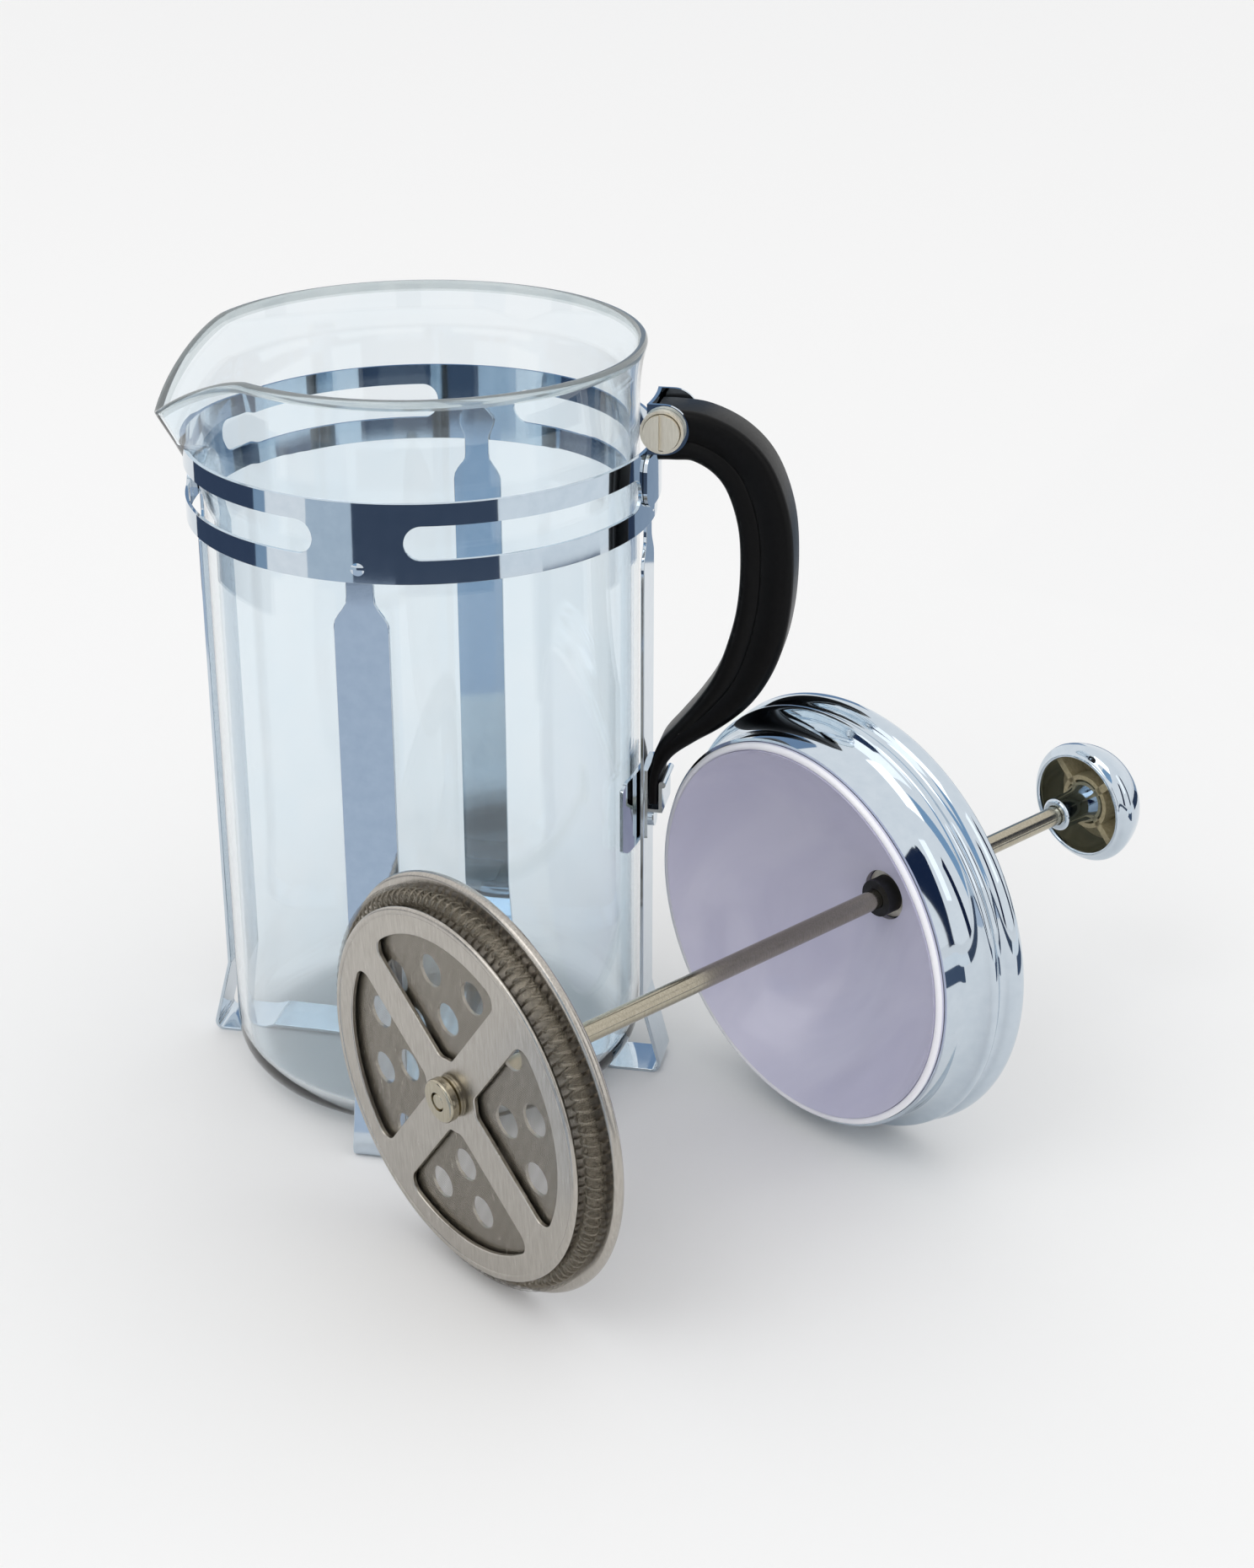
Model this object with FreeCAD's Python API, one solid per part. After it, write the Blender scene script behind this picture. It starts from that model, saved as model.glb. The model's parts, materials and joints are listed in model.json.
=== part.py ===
"""French press: a glass beaker in a sheet-metal stand, with its plunger lifted out and laid beside it.

Millimetres, +Z up. The origin is on the beaker's axis, on the surface that the feet stand on.
+X points at the handle. The plunger is built along its own rod, then laid on its two rims.
"""
import FreeCAD, Part
import math
import os

Vector = FreeCAD.Vector
UP = Vector(0, 0, 1)
ORIGIN = Vector(0, 0, 0)
FULL_TURN = 360.0

# ---- clearances ----
RUNNING_GAP = 0.08          # shaft to bore, on the radius
SEAT_GAP = 0.05             # between flat faces of two pieces that sit together
LOOSE_GAP = 0.10            # between pieces that are only laid together

# ---- sheet metal ----
SHEET = 0.8                 # band, leg straps and brackets
LID_SHEET = 0.7             # lid dome
FILTER_SHEET = 0.7          # pressed filter plates

# ---- glass beaker ----
GLASS_RADIUS = 48.5         # outside of the straight wall
GLASS_WALL = 2.0
GLASS_BASE = 3.0
GLASS_TOP = 176.3           # rim above the table
GLASS_CORNER = 9.0          # outside radius between wall and base
GLASS_PUNT = 1.0            # hollow pressed up into the base
GLASS_PUNT_RADIUS = 30.0
RIM_FLARE = 1.7             # how far the rim stands out from the wall
RIM_FLARE_HEIGHT = 14.0
SPOUT_ANGLE = -157.0        # degrees from the handle, seen from above
SPOUT_REACH = 9.2           # tip beyond the straight wall
SPOUT_DROP = 13.0           # tip below the rim
SPOUT_HALF_ANGLE = 31.0     # half of the arc that the spout takes from the rim
SPOUT_DEPTH = 34.0          # how far down the wall the spout starts
SPOUT_TIP_RADIUS = 3.2
SPOUT_ROOT = 0.6            # how far the spout's sides start inside the wall

# ---- stand ----
BAND_RADIUS = 52.5          # outside
BAND_BOTTOM = 137.9
BAND_HEIGHT = 17.4
SLOT_HEIGHT = 7.5
SLOT_LIFT = 5.2             # lower edge of a slot above the band's lower edge
SLOT_LAND = 21.4            # degrees of plain band at each leg
LEG_COUNT = 4
STRAP_WIDTH = 12.0
NECK_WIDTH = 6.0
TAB_WIDTH = 9.0
NECK_DROP = 10.0            # from the band's lower edge down to where the strap is full width
TAB_LAP = 9.0               # length of the tab behind the band
FOOT_RISE = 19.0            # height where a leg turns outwards
FOOT_REACH = 4.9            # foot corner outside the leg
FOOT_FLAT = 12.0            # part of the base run that lies on the table
BEND_RADIUS = 2.2

# ---- handle and its fittings ----
HANDLE_WIDTH = 12.0
HANDLE_EDGE = 1.6
EAR_RADIUS = 5.6
EAR_REACH = 3.2             # screw axis outside the band
SCREW_HEIGHT = 160.2
SCREW_RADIUS = 2.0
SCREW_HEAD_RADIUS = 4.0
SCREW_HEAD_HEIGHT = 1.7
SCREW_SLOT = 1.0
WASHER_RADIUS = 4.8
WASHER_THICKNESS = 0.9
NUT_FLATS = 7.0
NUT_THICKNESS = 3.2
BRACKET_LAND = 18.0         # width of the bracket's plate round the band
BRACKET_DROP = 13.0         # plate below the band's upper edge
BRACKET_SHOULDER = 0.3      # where the plate narrows, below the band's upper edge
BRACKET_CORNER = 4.0
CLIP_BOTTOM = 62.0
CLIP_HEIGHT = 17.0
CLIP_POCKET_FLOOR = 69.5
CLIP_POCKET_DEPTH = 7.0
CLIP_POCKET_GAP = 2.6       # room for the handle's tongue
SADDLE_WIDTH = 30.0
SADDLE_HEIGHT = 18.0
SADDLE_CORNER = 5.0
RIVET_RADIUS = 1.4
RIVET_HEAD_RADIUS = 2.6
RIVET_HEAD_HEIGHT = 0.9
RIVET_HEIGHT = 65.6
# The grip's spine from the screw down to the clip: distance from the axis, height, depth across.
GRIP_SPINE = (
    (54.6, 158.5, 11.6),
    (63.2, 158.2, 10.8),
    (74.4, 149.4, 11.6),
    (78.5, 130.0, 11.9),
    (75.9, 109.5, 12.0),
    (68.9, 96.6, 9.2),
    (57.8, 86.3, 5.0),
)

# ---- plunger: distances along the rod from the filter's widest rim, towards the knob ----
ROD_RADIUS = 2.3
THREAD_RADIUS = 1.95
FILTER_RADIUS = 46.2
FILTER_RIM = 2.4            # thickness of the rolled rim
CHANNEL_RADIUS = 39.6       # wall that the coil sits round
PLATE_DEPTH = 6.7           # perforated face in front of the rim
COIL_WIRE_SPAN = 4.0        # outer diameter of the coil's turns
COIL_WRAP_GAP = 0.25        # between the coil and the gauze folded round it
MESH_SHEET = 0.35
CROSS_PLATE_RADIUS = 41.0
CROSS_PLATE_FACE = 8.4      # front face ahead of the rim
CROSS_PLATE_THICKNESS = 1.1
SPOKE_WIDTH = 9.0
WINDOW_INNER = 8.5
WINDOW_OUTER = 35.0
WINDOW_CORNER = 3.0
CROSS_TURN = 39.0           # how far the cross plate is screwed round from upright
HOLE_RADIUS = 3.6
HOLE_RINGS = ((17.0, 8, -4.0), (27.0, 12, 17.0))   # ring radius, number of holes, first angle
HUB_NUT_RADIUS = 4.8
HUB_NUT_HEIGHT = 3.2

LINER_RIM = 86.9
LINER_RADIUS = 45.2
LINER_SHEET = 1.4
LINER_LIP = 1.7
LINER_DEPTH = 28.4
LINER_HOLE = 6.0
SKIRT_RADIUS = 46.0
SKIRT_LENGTH = 5.2
WAIST_RADIUS = 47.0
BEAD_RADIUS = 50.3
BEAD_PLACE = 12.4
BEAD_HALF = 1.1             # half of the bead's length along the rod
BEAD_DEPTH = 0.9            # how far the bead stands out
GROOVE_RADIUS = 48.9
FLANGE_RADIUS = 51.35
FLANGE_PLACE = 18.3
FLANGE_HALF = 2.6
FLANGE_DEPTH = 1.9
DOME_HEIGHT = 31.4          # top of the dome beyond the liner's rim
GUIDE_RADIUS = 4.4
GUIDE_FLANGE_RADIUS = 6.6
GUIDE_FLANGE = 1.2
GUIDE_LENGTH = 6.0

KNOB_FACE = 172.5           # front of the knob's boss
KNOB_RIM = 180.6            # open edge of the knob
KNOB_RADIUS = 15.0
KNOB_MOUTH = 12.2
KNOB_DEPTH = 12.6           # rim to crown
KNOB_SHELL = 1.0
BOSS_RADIUS = 4.0
BOSS_BASE_RADIUS = 5.6
RIB_WIDTH = 1.8
INSERT_FLOOR = 3.0

# ---- where the plunger lies ----
PLUNGER_HEADING = 50.6      # direction of the rod, from the handle's direction
FILTER_PLACE = (34.3, -92.3)    # centre of the filter's rim, seen from above

BAND_TOP = BAND_BOTTOM + BAND_HEIGHT
BAND_INNER = BAND_RADIUS - SHEET
LEG_RADIUS = math.sqrt(BAND_INNER ** 2 - (TAB_WIDTH / 2) ** 2)   # outer face of a leg
STRAP_TOP = BAND_BOTTOM + TAB_LAP
GLASS_BOTTOM = 2 * SHEET + LOOSE_GAP
GLASS_INNER = GLASS_RADIUS - GLASS_WALL


def polar(radius, degrees, height=0.0):
    """A point at a radius and an angle about Z."""
    turn = math.radians(degrees)
    return Vector(radius * math.cos(turn), radius * math.sin(turn), height)


def polygon_wire(points):
    """Closed wire through the points."""
    return Part.makePolygon(list(points) + [points[0]])


def cylinder(radius, height, base=ORIGIN, axis=UP):
    """Solid cylinder."""
    return Part.makeCylinder(radius, height, base, axis)


def revolved(face, axis=UP):
    """Solid of a face turned once about an axis through the origin."""
    return face.revolve(ORIGIN, axis, FULL_TURN)


def profile_face(edges):
    """Face from edges that close a loop."""
    return Part.Face(Part.Wire(Part.sortEdges(edges)[0]))


def line(start, end):
    """Straight edge."""
    return Part.LineSegment(start, end).toShape()


def curve(points):
    """Smooth edge through the points."""
    spline = Part.BSplineCurve()
    spline.interpolate(list(points))
    return spline.toShape()


def at_side(radius, height):
    """A point of a turned profile: radius along X, height along Z."""
    return Vector(radius, 0, height)


def rounded_run(points, radius):
    """Open wire through the points in one plane, with each inner corner rounded."""
    edges = []
    start = points[0]
    for corner, after in zip(points[1:-1], points[2:]):
        inward = (start - corner).normalize()
        outward = (after - corner).normalize()
        half_turn = (math.pi - inward.getAngle(outward)) / 2
        setback = radius * math.tan(half_turn)
        bend_start = corner + inward * setback
        bend_end = corner + outward * setback
        bisector = (inward + outward).normalize()
        middle = corner + bisector * (radius / math.cos(half_turn) - radius)
        edges.append(line(start, bend_start))
        edges.append(Part.Arc(bend_start, middle, bend_end).toShape())
        start = bend_end
    edges.append(line(start, points[-1]))
    return Part.Wire(edges)


def sheet_face(wire, thickness):
    """Strip of the given thickness on one side of an open flat wire."""
    return wire.makeOffset2D(thickness, join=0, fill=True, openResult=True)


def save(name, shape):
    """Write one node, and say what it is."""
    solids = shape.Solids
    body = solids[0] if len(solids) == 1 else Part.makeCompound(solids)
    if not solids or not body.isValid():
        raise ValueError(f"{name} is not a sound solid")
    body.exportStep(os.path.join("parts", f"{name}.step"))
    print(f"{name}: {len(solids)} solid, {body.Volume:.0f} mm3")
    return body


# ---------------------------------------------------------------- glass beaker
def spout_section(height, reach, wall):
    """Level outline of the spout's bulge, from inside the wall out to its tip."""
    root = GLASS_RADIUS - GLASS_CORNER
    half = math.radians(SPOUT_HALF_ANGLE) * min(1.0, 0.4 + 0.6 * reach / SPOUT_REACH)
    side = GLASS_RADIUS - wall - SPOUT_ROOT
    shoulder = Vector(side * math.cos(half), side * math.sin(half), height)
    tip = GLASS_RADIUS + reach - wall
    nose = max(SPOUT_TIP_RADIUS - wall, 0.8)
    cheek = Vector(tip - nose, nose, height)
    back = Vector(root, shoulder.y, height)
    mirrored = [Vector(p.x, -p.y, p.z) for p in (back, shoulder, cheek)]
    return Part.Wire([
        line(mirrored[0], back),
        line(back, shoulder),
        line(shoulder, cheek),
        Part.Arc(cheek, Vector(tip, 0, height), mirrored[2]).toShape(),
        line(mirrored[2], mirrored[1]),
        line(mirrored[1], mirrored[0]),
    ])


def spout_bulge(wall):
    """Solid that swells out of the wall to the tip."""
    start = GLASS_TOP - SPOUT_DEPTH
    levels = ((0.0, -0.12), (0.25, 0.08), (0.40, 0.24), (0.52, 0.62), (0.64, 0.95), (1.0, 1.0))
    sections = []
    for share, swell in levels:
        height = start + share * SPOUT_DEPTH
        sections.append(spout_section(height, SPOUT_REACH * swell, wall))
    return Part.makeLoft(sections, True, False)


def glass_body(wall, bottom, punt):
    """Full solid inside the glass surface that lies `wall` in from the outside."""
    radius = GLASS_RADIUS - wall
    corner = max(GLASS_CORNER - wall, 2.0)
    lip = radius + RIM_FLARE
    flare_start = GLASS_TOP - RIM_FLARE_HEIGHT
    centre = at_side(radius - corner, bottom + corner)
    middle = centre + Vector(math.cos(math.radians(-45)), 0, math.sin(math.radians(-45))) * corner
    edges = [
        line(at_side(0, bottom + punt), at_side(GLASS_PUNT_RADIUS / 2, bottom + punt)),
        line(at_side(GLASS_PUNT_RADIUS / 2, bottom + punt), at_side(GLASS_PUNT_RADIUS, bottom)),
        line(at_side(GLASS_PUNT_RADIUS, bottom), at_side(radius - corner, bottom)),
        Part.Arc(at_side(radius - corner, bottom), middle, at_side(radius, bottom + corner)).toShape(),
        line(at_side(radius, bottom + corner), at_side(radius, flare_start)),
        Part.Arc(at_side(radius, flare_start),
                 at_side(radius + RIM_FLARE * 0.27, GLASS_TOP - RIM_FLARE_HEIGHT / 2),
                 at_side(lip, GLASS_TOP)).toShape(),
        line(at_side(lip, GLASS_TOP), at_side(0, GLASS_TOP)),
        line(at_side(0, GLASS_TOP), at_side(0, bottom + punt)),
    ]
    return revolved(profile_face(edges)).fuse(spout_bulge(wall))


def spout_trim():
    """Block that lowers the rim towards the spout's tip along a smooth fall."""
    begin = GLASS_RADIUS * math.cos(math.radians(SPOUT_HALF_ANGLE))
    tip = GLASS_RADIUS + SPOUT_REACH
    end = tip + 3
    span = tip - begin
    fall = curve([
        at_side(begin, GLASS_TOP + 0.2),
        at_side(begin + span * 0.35, GLASS_TOP - SPOUT_DROP * 0.20),
        at_side(begin + span * 0.75, GLASS_TOP - SPOUT_DROP * 0.72),
        at_side(tip, GLASS_TOP - SPOUT_DROP),
        at_side(end, GLASS_TOP - SPOUT_DROP - 0.5),
    ])
    above = GLASS_TOP + 5
    face = profile_face([
        fall,
        line(at_side(end, GLASS_TOP - SPOUT_DROP - 0.5), at_side(end, above)),
        line(at_side(end, above), at_side(begin, above)),
        line(at_side(begin, above), at_side(begin, GLASS_TOP + 0.2)),
    ])
    half = GLASS_RADIUS
    face.translate(Vector(0, -half, 0))
    return face.extrude(Vector(0, 2 * half, 0))


def glass_beaker():
    """Beaker with a pouring lip, standing on the leg straps."""
    outside = glass_body(0.0, GLASS_BOTTOM, GLASS_PUNT)
    inside = glass_body(GLASS_WALL, GLASS_BOTTOM + GLASS_BASE, 0.0)
    glass = outside.cut(inside).cut(spout_trim())
    glass.rotate(ORIGIN, UP, SPOUT_ANGLE)
    return glass


# ---------------------------------------------------------------- stand
def ring(outer, inner, bottom, height):
    """Plain hoop about Z."""
    base = Vector(0, 0, bottom)
    return cylinder(outer, height, base).cut(cylinder(inner, height, base))


def wedge(first, last, bottom, height):
    """Block that spans a range of angles about Z, wider than the object."""
    reach = 3 * BAND_RADIUS
    middle = (first + last) / 2
    outline = [
        Vector(0, 0, bottom),
        polar(reach, first, bottom),
        polar(reach, middle, bottom),
        polar(reach, last, bottom),
    ]
    return Part.Face(polygon_wire(outline)).extrude(Vector(0, 0, height))


def slot_tool(angle):
    """Long round-ended slot through the band, centred on an angle."""
    radius = SLOT_HEIGHT / 2
    middle_height = BAND_BOTTOM + SLOT_LIFT + radius
    end_turn = math.degrees(radius / BAND_RADIUS)
    half = (FULL_TURN / LEG_COUNT - SLOT_LAND) / 2 - end_turn
    tool = wedge(angle - half, angle + half, middle_height - radius, SLOT_HEIGHT)
    for side in (-1, 1):
        outward = polar(1, angle + side * half)
        tool = tool.fuse(cylinder(radius, 2 * BAND_RADIUS, Vector(0, 0, middle_height), outward))
    return tool


def frame_band():
    """Hoop round the glass, with four long slots between the legs."""
    band = ring(BAND_RADIUS, BAND_INNER, BAND_BOTTOM, BAND_HEIGHT)
    step = FULL_TURN / LEG_COUNT
    for index in range(LEG_COUNT):
        band = band.cut(slot_tool(step * (index + 0.5)))
    return band


def strap_outline():
    """Front outline of both legs of a strap: tab, neck, shoulders and full width down to the foot."""
    half = STRAP_WIDTH / 2
    neck = NECK_WIDTH / 2
    tab = TAB_WIDTH / 2
    shoulder = BAND_BOTTOM - NECK_DROP
    neck_top = BAND_BOTTOM + 1
    crown = STRAP_TOP - tab
    edges = [
        line(Vector(0, -half, -1), Vector(0, half, -1)),
        line(Vector(0, half, -1), Vector(0, half, shoulder)),
        line(Vector(0, half, shoulder), Vector(0, neck, neck_top - 5)),
        line(Vector(0, neck, neck_top - 5), Vector(0, neck, neck_top)),
        line(Vector(0, neck, neck_top), Vector(0, tab, crown)),
        Part.Arc(Vector(0, tab, crown), Vector(0, 0, STRAP_TOP), Vector(0, -tab, crown)).toShape(),
        line(Vector(0, -tab, crown), Vector(0, -neck, neck_top)),
        line(Vector(0, -neck, neck_top), Vector(0, -neck, neck_top - 5)),
        line(Vector(0, -neck, neck_top - 5), Vector(0, -half, shoulder)),
        line(Vector(0, -half, shoulder), Vector(0, -half, -1)),
    ]
    face = profile_face(edges)
    face.translate(Vector(-2 * BAND_RADIUS, 0, 0))
    return face.extrude(Vector(4 * BAND_RADIUS, 0, 0))


def leg_strap(base_lift):
    """One strip: down a leg, out to the foot, across under the glass and up the far leg."""
    foot = LEG_RADIUS + FOOT_REACH
    flat_end = foot - FOOT_FLAT
    ramp = 4 * SHEET
    right = [
        at_side(LEG_RADIUS, STRAP_TOP),
        at_side(LEG_RADIUS, FOOT_RISE),
        at_side(foot, 0),
    ]
    if base_lift:
        right.append(at_side(flat_end, 0))
        right.append(at_side(flat_end - ramp, base_lift))
    left = [Vector(-p.x, 0, p.z) for p in reversed(right)]
    run = rounded_run(right + left, BEND_RADIUS)
    strip = sheet_face(run, -SHEET)
    strip.translate(Vector(0, -STRAP_WIDTH / 2, 0))
    solid = strip.extrude(Vector(0, STRAP_WIDTH, 0))
    return solid.common(strap_outline())


def crosswise_strap():
    """The lower strip, which lies flat on the table and carries the side legs."""
    strap = leg_strap(0.0)
    strap.rotate(ORIGIN, UP, 90)
    return strap


def ear_plate(inner_face):
    """One round ear beside the handle, on the side that the sign of its inner face gives."""
    side = math.copysign(1, inner_face)
    screw_x = BAND_RADIUS + EAR_REACH
    base = Vector(screw_x, inner_face, SCREW_HEIGHT)
    disc = cylinder(EAR_RADIUS, SHEET, base, Vector(0, side, 0))
    root = Part.makeBox(screw_x - BAND_RADIUS - SHEET / 2, SHEET, 2 * EAR_RADIUS,
                        Vector(BAND_RADIUS + SHEET / 2, min(inner_face, inner_face + side * SHEET),
                               SCREW_HEIGHT - EAR_RADIUS))
    trimmed = disc.common(Part.makeBox(50, 50, 50, Vector(BAND_RADIUS + SHEET / 2, -25, SCREW_HEIGHT - 25)))
    return trimmed.fuse(root)


def handle_bracket():
    """Plate welded on the band, narrowing above it to two ears that hold the top of the handle."""
    inner_face = HANDLE_WIDTH / 2 + LOOSE_GAP
    bottom = BAND_TOP - BRACKET_DROP
    shoulder = BAND_TOP - BRACKET_SHOULDER
    top = SCREW_HEIGHT + EAR_RADIUS
    inside = BAND_RADIUS + LOOSE_GAP
    plate = ring(inside + SHEET, inside, bottom, top - bottom)
    half = BRACKET_LAND / 2
    block = Part.makeBox(40, 2 * half, shoulder - bottom, Vector(BAND_RADIUS - 20, -half, bottom))
    along_x = [edge for edge in block.Edges if edge.BoundBox.XLength > 30]
    neck = Part.makeBox(40, 2 * (inner_face + SHEET), top - bottom - BRACKET_CORNER,
                        Vector(BAND_RADIUS - 20, -inner_face - SHEET, bottom + BRACKET_CORNER))
    plate = plate.common(block.makeFillet(BRACKET_CORNER, along_x).fuse(neck))
    bracket = plate.fuse(ear_plate(inner_face)).fuse(ear_plate(-inner_face))
    hole = cylinder(SCREW_RADIUS + RUNNING_GAP, 4 * HANDLE_WIDTH,
                    Vector(BAND_RADIUS + EAR_REACH, -2 * HANDLE_WIDTH, SCREW_HEIGHT), Vector(0, 1, 0))
    return bracket.cut(hole)


def grip_sides():
    """Outer and inner curves of the grip, half its depth to each side of the spine."""
    spine = [at_side(x, z) for x, z, _ in GRIP_SPINE]
    outer = []
    inner = []
    for index, (x, z, depth) in enumerate(GRIP_SPINE):
        before = spine[max(index - 1, 0)]
        after = spine[min(index + 1, len(spine) - 1)]
        along = (after - before).normalize()
        across = Vector(-along.z, 0, along.x) * (depth / 2)
        outer.append(at_side(x, z) + across)
        inner.append(at_side(x, z) - across)
    return outer, inner


def handle_grip():
    """Moulded grip: a C that is held between the ears and tucked into the clip."""
    outer, inner = grip_sides()
    wall = BAND_RADIUS + SHEET + LOOSE_GAP + 0.3
    tongue_in = LEG_RADIUS + SHEET + 0.2
    tongue_out = tongue_in + CLIP_POCKET_GAP - 0.5
    tongue_end = CLIP_POCKET_FLOOR + LOOSE_GAP + 0.2
    lower_out = Vector(tongue_out, 0, CLIP_POCKET_FLOOR + CLIP_POCKET_DEPTH + 2.5)
    lower_in = Vector(tongue_in, 0, inner[-1].z - 3.0)
    edges = [
        line(at_side(wall, outer[0].z - 1.0), outer[0]),
        curve(outer),
        line(outer[-1], lower_out),
        line(lower_out, at_side(tongue_out, tongue_end)),
        line(at_side(tongue_out, tongue_end), at_side(tongue_in, tongue_end)),
        line(at_side(tongue_in, tongue_end), lower_in),
        line(lower_in, inner[-1]),
        curve(list(reversed(inner))),
        line(inner[0], at_side(wall, inner[0].z)),
        line(at_side(wall, inner[0].z), at_side(wall, outer[0].z - 1.0)),
    ]
    face = profile_face(edges)
    face.translate(Vector(0, -HANDLE_WIDTH / 2, 0))
    grip = face.extrude(Vector(0, HANDLE_WIDTH, 0))
    long_edges = [edge for edge in grip.Edges if edge.Length > 60 and edge.BoundBox.YLength < 1e-3]
    grip = grip.makeFillet(HANDLE_EDGE, long_edges)
    hole = cylinder(SCREW_RADIUS + RUNNING_GAP, 2 * HANDLE_WIDTH,
                    Vector(BAND_RADIUS + EAR_REACH, -HANDLE_WIDTH, SCREW_HEIGHT), Vector(0, 1, 0))
    return grip.cut(hole)


def screw_parts():
    """Slotted screw, its cup washer and its nut, across the top of the handle."""
    ear_face = HANDLE_WIDTH / 2 + LOOSE_GAP + SHEET
    near = Vector(BAND_RADIUS + EAR_REACH, -ear_face - LOOSE_GAP, SCREW_HEIGHT)
    far_y = ear_face + LOOSE_GAP
    away = Vector(0, -1, 0)
    seat = near + away * (WASHER_THICKNESS + LOOSE_GAP)
    washer = cylinder(WASHER_RADIUS, WASHER_THICKNESS, near, away)
    lip = cylinder(WASHER_RADIUS, SCREW_HEAD_HEIGHT, near, away)
    lip = lip.cut(cylinder(SCREW_HEAD_RADIUS + 0.2, SCREW_HEAD_HEIGHT, near, away))
    washer = washer.fuse(lip).cut(cylinder(SCREW_RADIUS + RUNNING_GAP, SCREW_HEAD_HEIGHT, near, away))
    head = cylinder(SCREW_HEAD_RADIUS, SCREW_HEAD_HEIGHT, seat, away)
    shank_length = -seat.y + far_y + NUT_THICKNESS
    screw = head.fuse(cylinder(SCREW_RADIUS, shank_length, seat, Vector(0, 1, 0)))
    slot = Part.makeBox(SCREW_SLOT, SCREW_HEAD_HEIGHT, 4 * SCREW_HEAD_RADIUS,
                        Vector(near.x - SCREW_SLOT / 2, seat.y - SCREW_HEAD_HEIGHT - 0.8,
                               SCREW_HEIGHT - 2 * SCREW_HEAD_RADIUS))
    screw = screw.cut(slot)
    corner = NUT_FLATS / math.sqrt(3)
    hexagon = [Vector(near.x + corner * math.cos(math.radians(60 * i)), far_y,
                      SCREW_HEIGHT + corner * math.sin(math.radians(60 * i))) for i in range(6)]
    nut = Part.Face(polygon_wire(hexagon)).extrude(Vector(0, NUT_THICKNESS, 0))
    nut = nut.cut(cylinder(SCREW_RADIUS + RUNNING_GAP, NUT_THICKNESS, Vector(near.x, far_y, SCREW_HEIGHT),
                           Vector(0, 1, 0)))
    return screw, washer, nut


def rivet_hole():
    """Bore for the rivet through clip, leg and saddle."""
    return cylinder(RIVET_RADIUS + RUNNING_GAP, 20, Vector(LEG_RADIUS - 10, 0, RIVET_HEIGHT), Vector(1, 0, 0))


def lower_handle_clip():
    """Folded clip on the leg, with a pocket that the handle's tongue stands in."""
    back = LEG_RADIUS
    front = back + SHEET + CLIP_POCKET_GAP
    width = STRAP_WIDTH - 1
    side = -width / 2
    plate = Part.makeBox(SHEET, width, CLIP_POCKET_FLOOR - CLIP_BOTTOM, Vector(back, side, CLIP_BOTTOM))
    rear = Part.makeBox(SHEET, width, CLIP_HEIGHT - (CLIP_POCKET_FLOOR - CLIP_BOTTOM),
                        Vector(back, side, CLIP_POCKET_FLOOR))
    floor = Part.makeBox(CLIP_POCKET_GAP + 2 * SHEET, width, SHEET, Vector(back, side, CLIP_POCKET_FLOOR - SHEET))
    wall = Part.makeBox(SHEET, width, CLIP_POCKET_DEPTH, Vector(front, side, CLIP_POCKET_FLOOR - SHEET))
    curl_top = CLIP_POCKET_FLOOR - SHEET + CLIP_POCKET_DEPTH
    curl = cylinder(SHEET, width, Vector(front + SHEET, side, curl_top), Vector(0, 1, 0))
    clip = plate.fuse(rear).fuse(floor).fuse(wall).fuse(curl)
    return clip.cut(rivet_hole()).removeSplitter()


def handle_saddle():
    """Curved pad between the leg and the glass, which spreads the clip's load."""
    outer = LEG_RADIUS - SHEET - LOOSE_GAP
    half_turn = math.degrees(SADDLE_WIDTH / 2 / outer)
    bottom = CLIP_BOTTOM + CLIP_HEIGHT - SADDLE_HEIGHT
    pad = ring(outer, outer - SHEET, bottom, SADDLE_HEIGHT)
    pad = pad.common(wedge(-half_turn, half_turn, bottom, SADDLE_HEIGHT))
    half = SADDLE_WIDTH / 2 + 1
    block = Part.makeBox(60, 2 * half, SADDLE_HEIGHT, Vector(outer - 30, -half, bottom))
    along_x = [edge for edge in block.Edges if edge.BoundBox.XLength > 50]
    pad = pad.common(block.makeFillet(SADDLE_CORNER, along_x))
    return pad.cut(rivet_hole())


def clip_rivet():
    """Rivet through the clip, the leg and the saddle."""
    inner = LEG_RADIUS - 2 * SHEET - LOOSE_GAP
    outer = LEG_RADIUS + SHEET
    along = Vector(1, 0, 0)
    shank = cylinder(RIVET_RADIUS, outer - inner + RIVET_HEAD_HEIGHT, Vector(inner, 0, RIVET_HEIGHT), along)
    head = cylinder(RIVET_HEAD_RADIUS, RIVET_HEAD_HEIGHT, Vector(outer, 0, RIVET_HEIGHT), along)
    return shank.fuse(head)


# ---------------------------------------------------------------- filter
def perforated_plate():
    """Pressed plate with two rings of round holes and a channel for the coil."""
    face = -PLATE_DEPTH
    run = Part.makePolygon([
        at_side(THREAD_RADIUS + RUNNING_GAP, face),
        at_side(CHANNEL_RADIUS, face),
        at_side(CHANNEL_RADIUS, -FILTER_RIM),
        at_side(FILTER_RADIUS - FILTER_RIM / 2, -FILTER_RIM),
    ])
    plate = revolved(sheet_face(run, FILTER_SHEET))
    roll = Part.makeTorus(FILTER_RADIUS - FILTER_RIM / 2, FILTER_RIM / 2, Vector(0, 0, -FILTER_RIM / 2))
    plate = plate.fuse(roll)
    for ring_radius, count, first in HOLE_RINGS:
        for index in range(count):
            centre = polar(ring_radius, first + FULL_TURN / count * index, face - 2)
            plate = plate.cut(cylinder(HOLE_RADIUS, 4, centre))
    return plate


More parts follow.
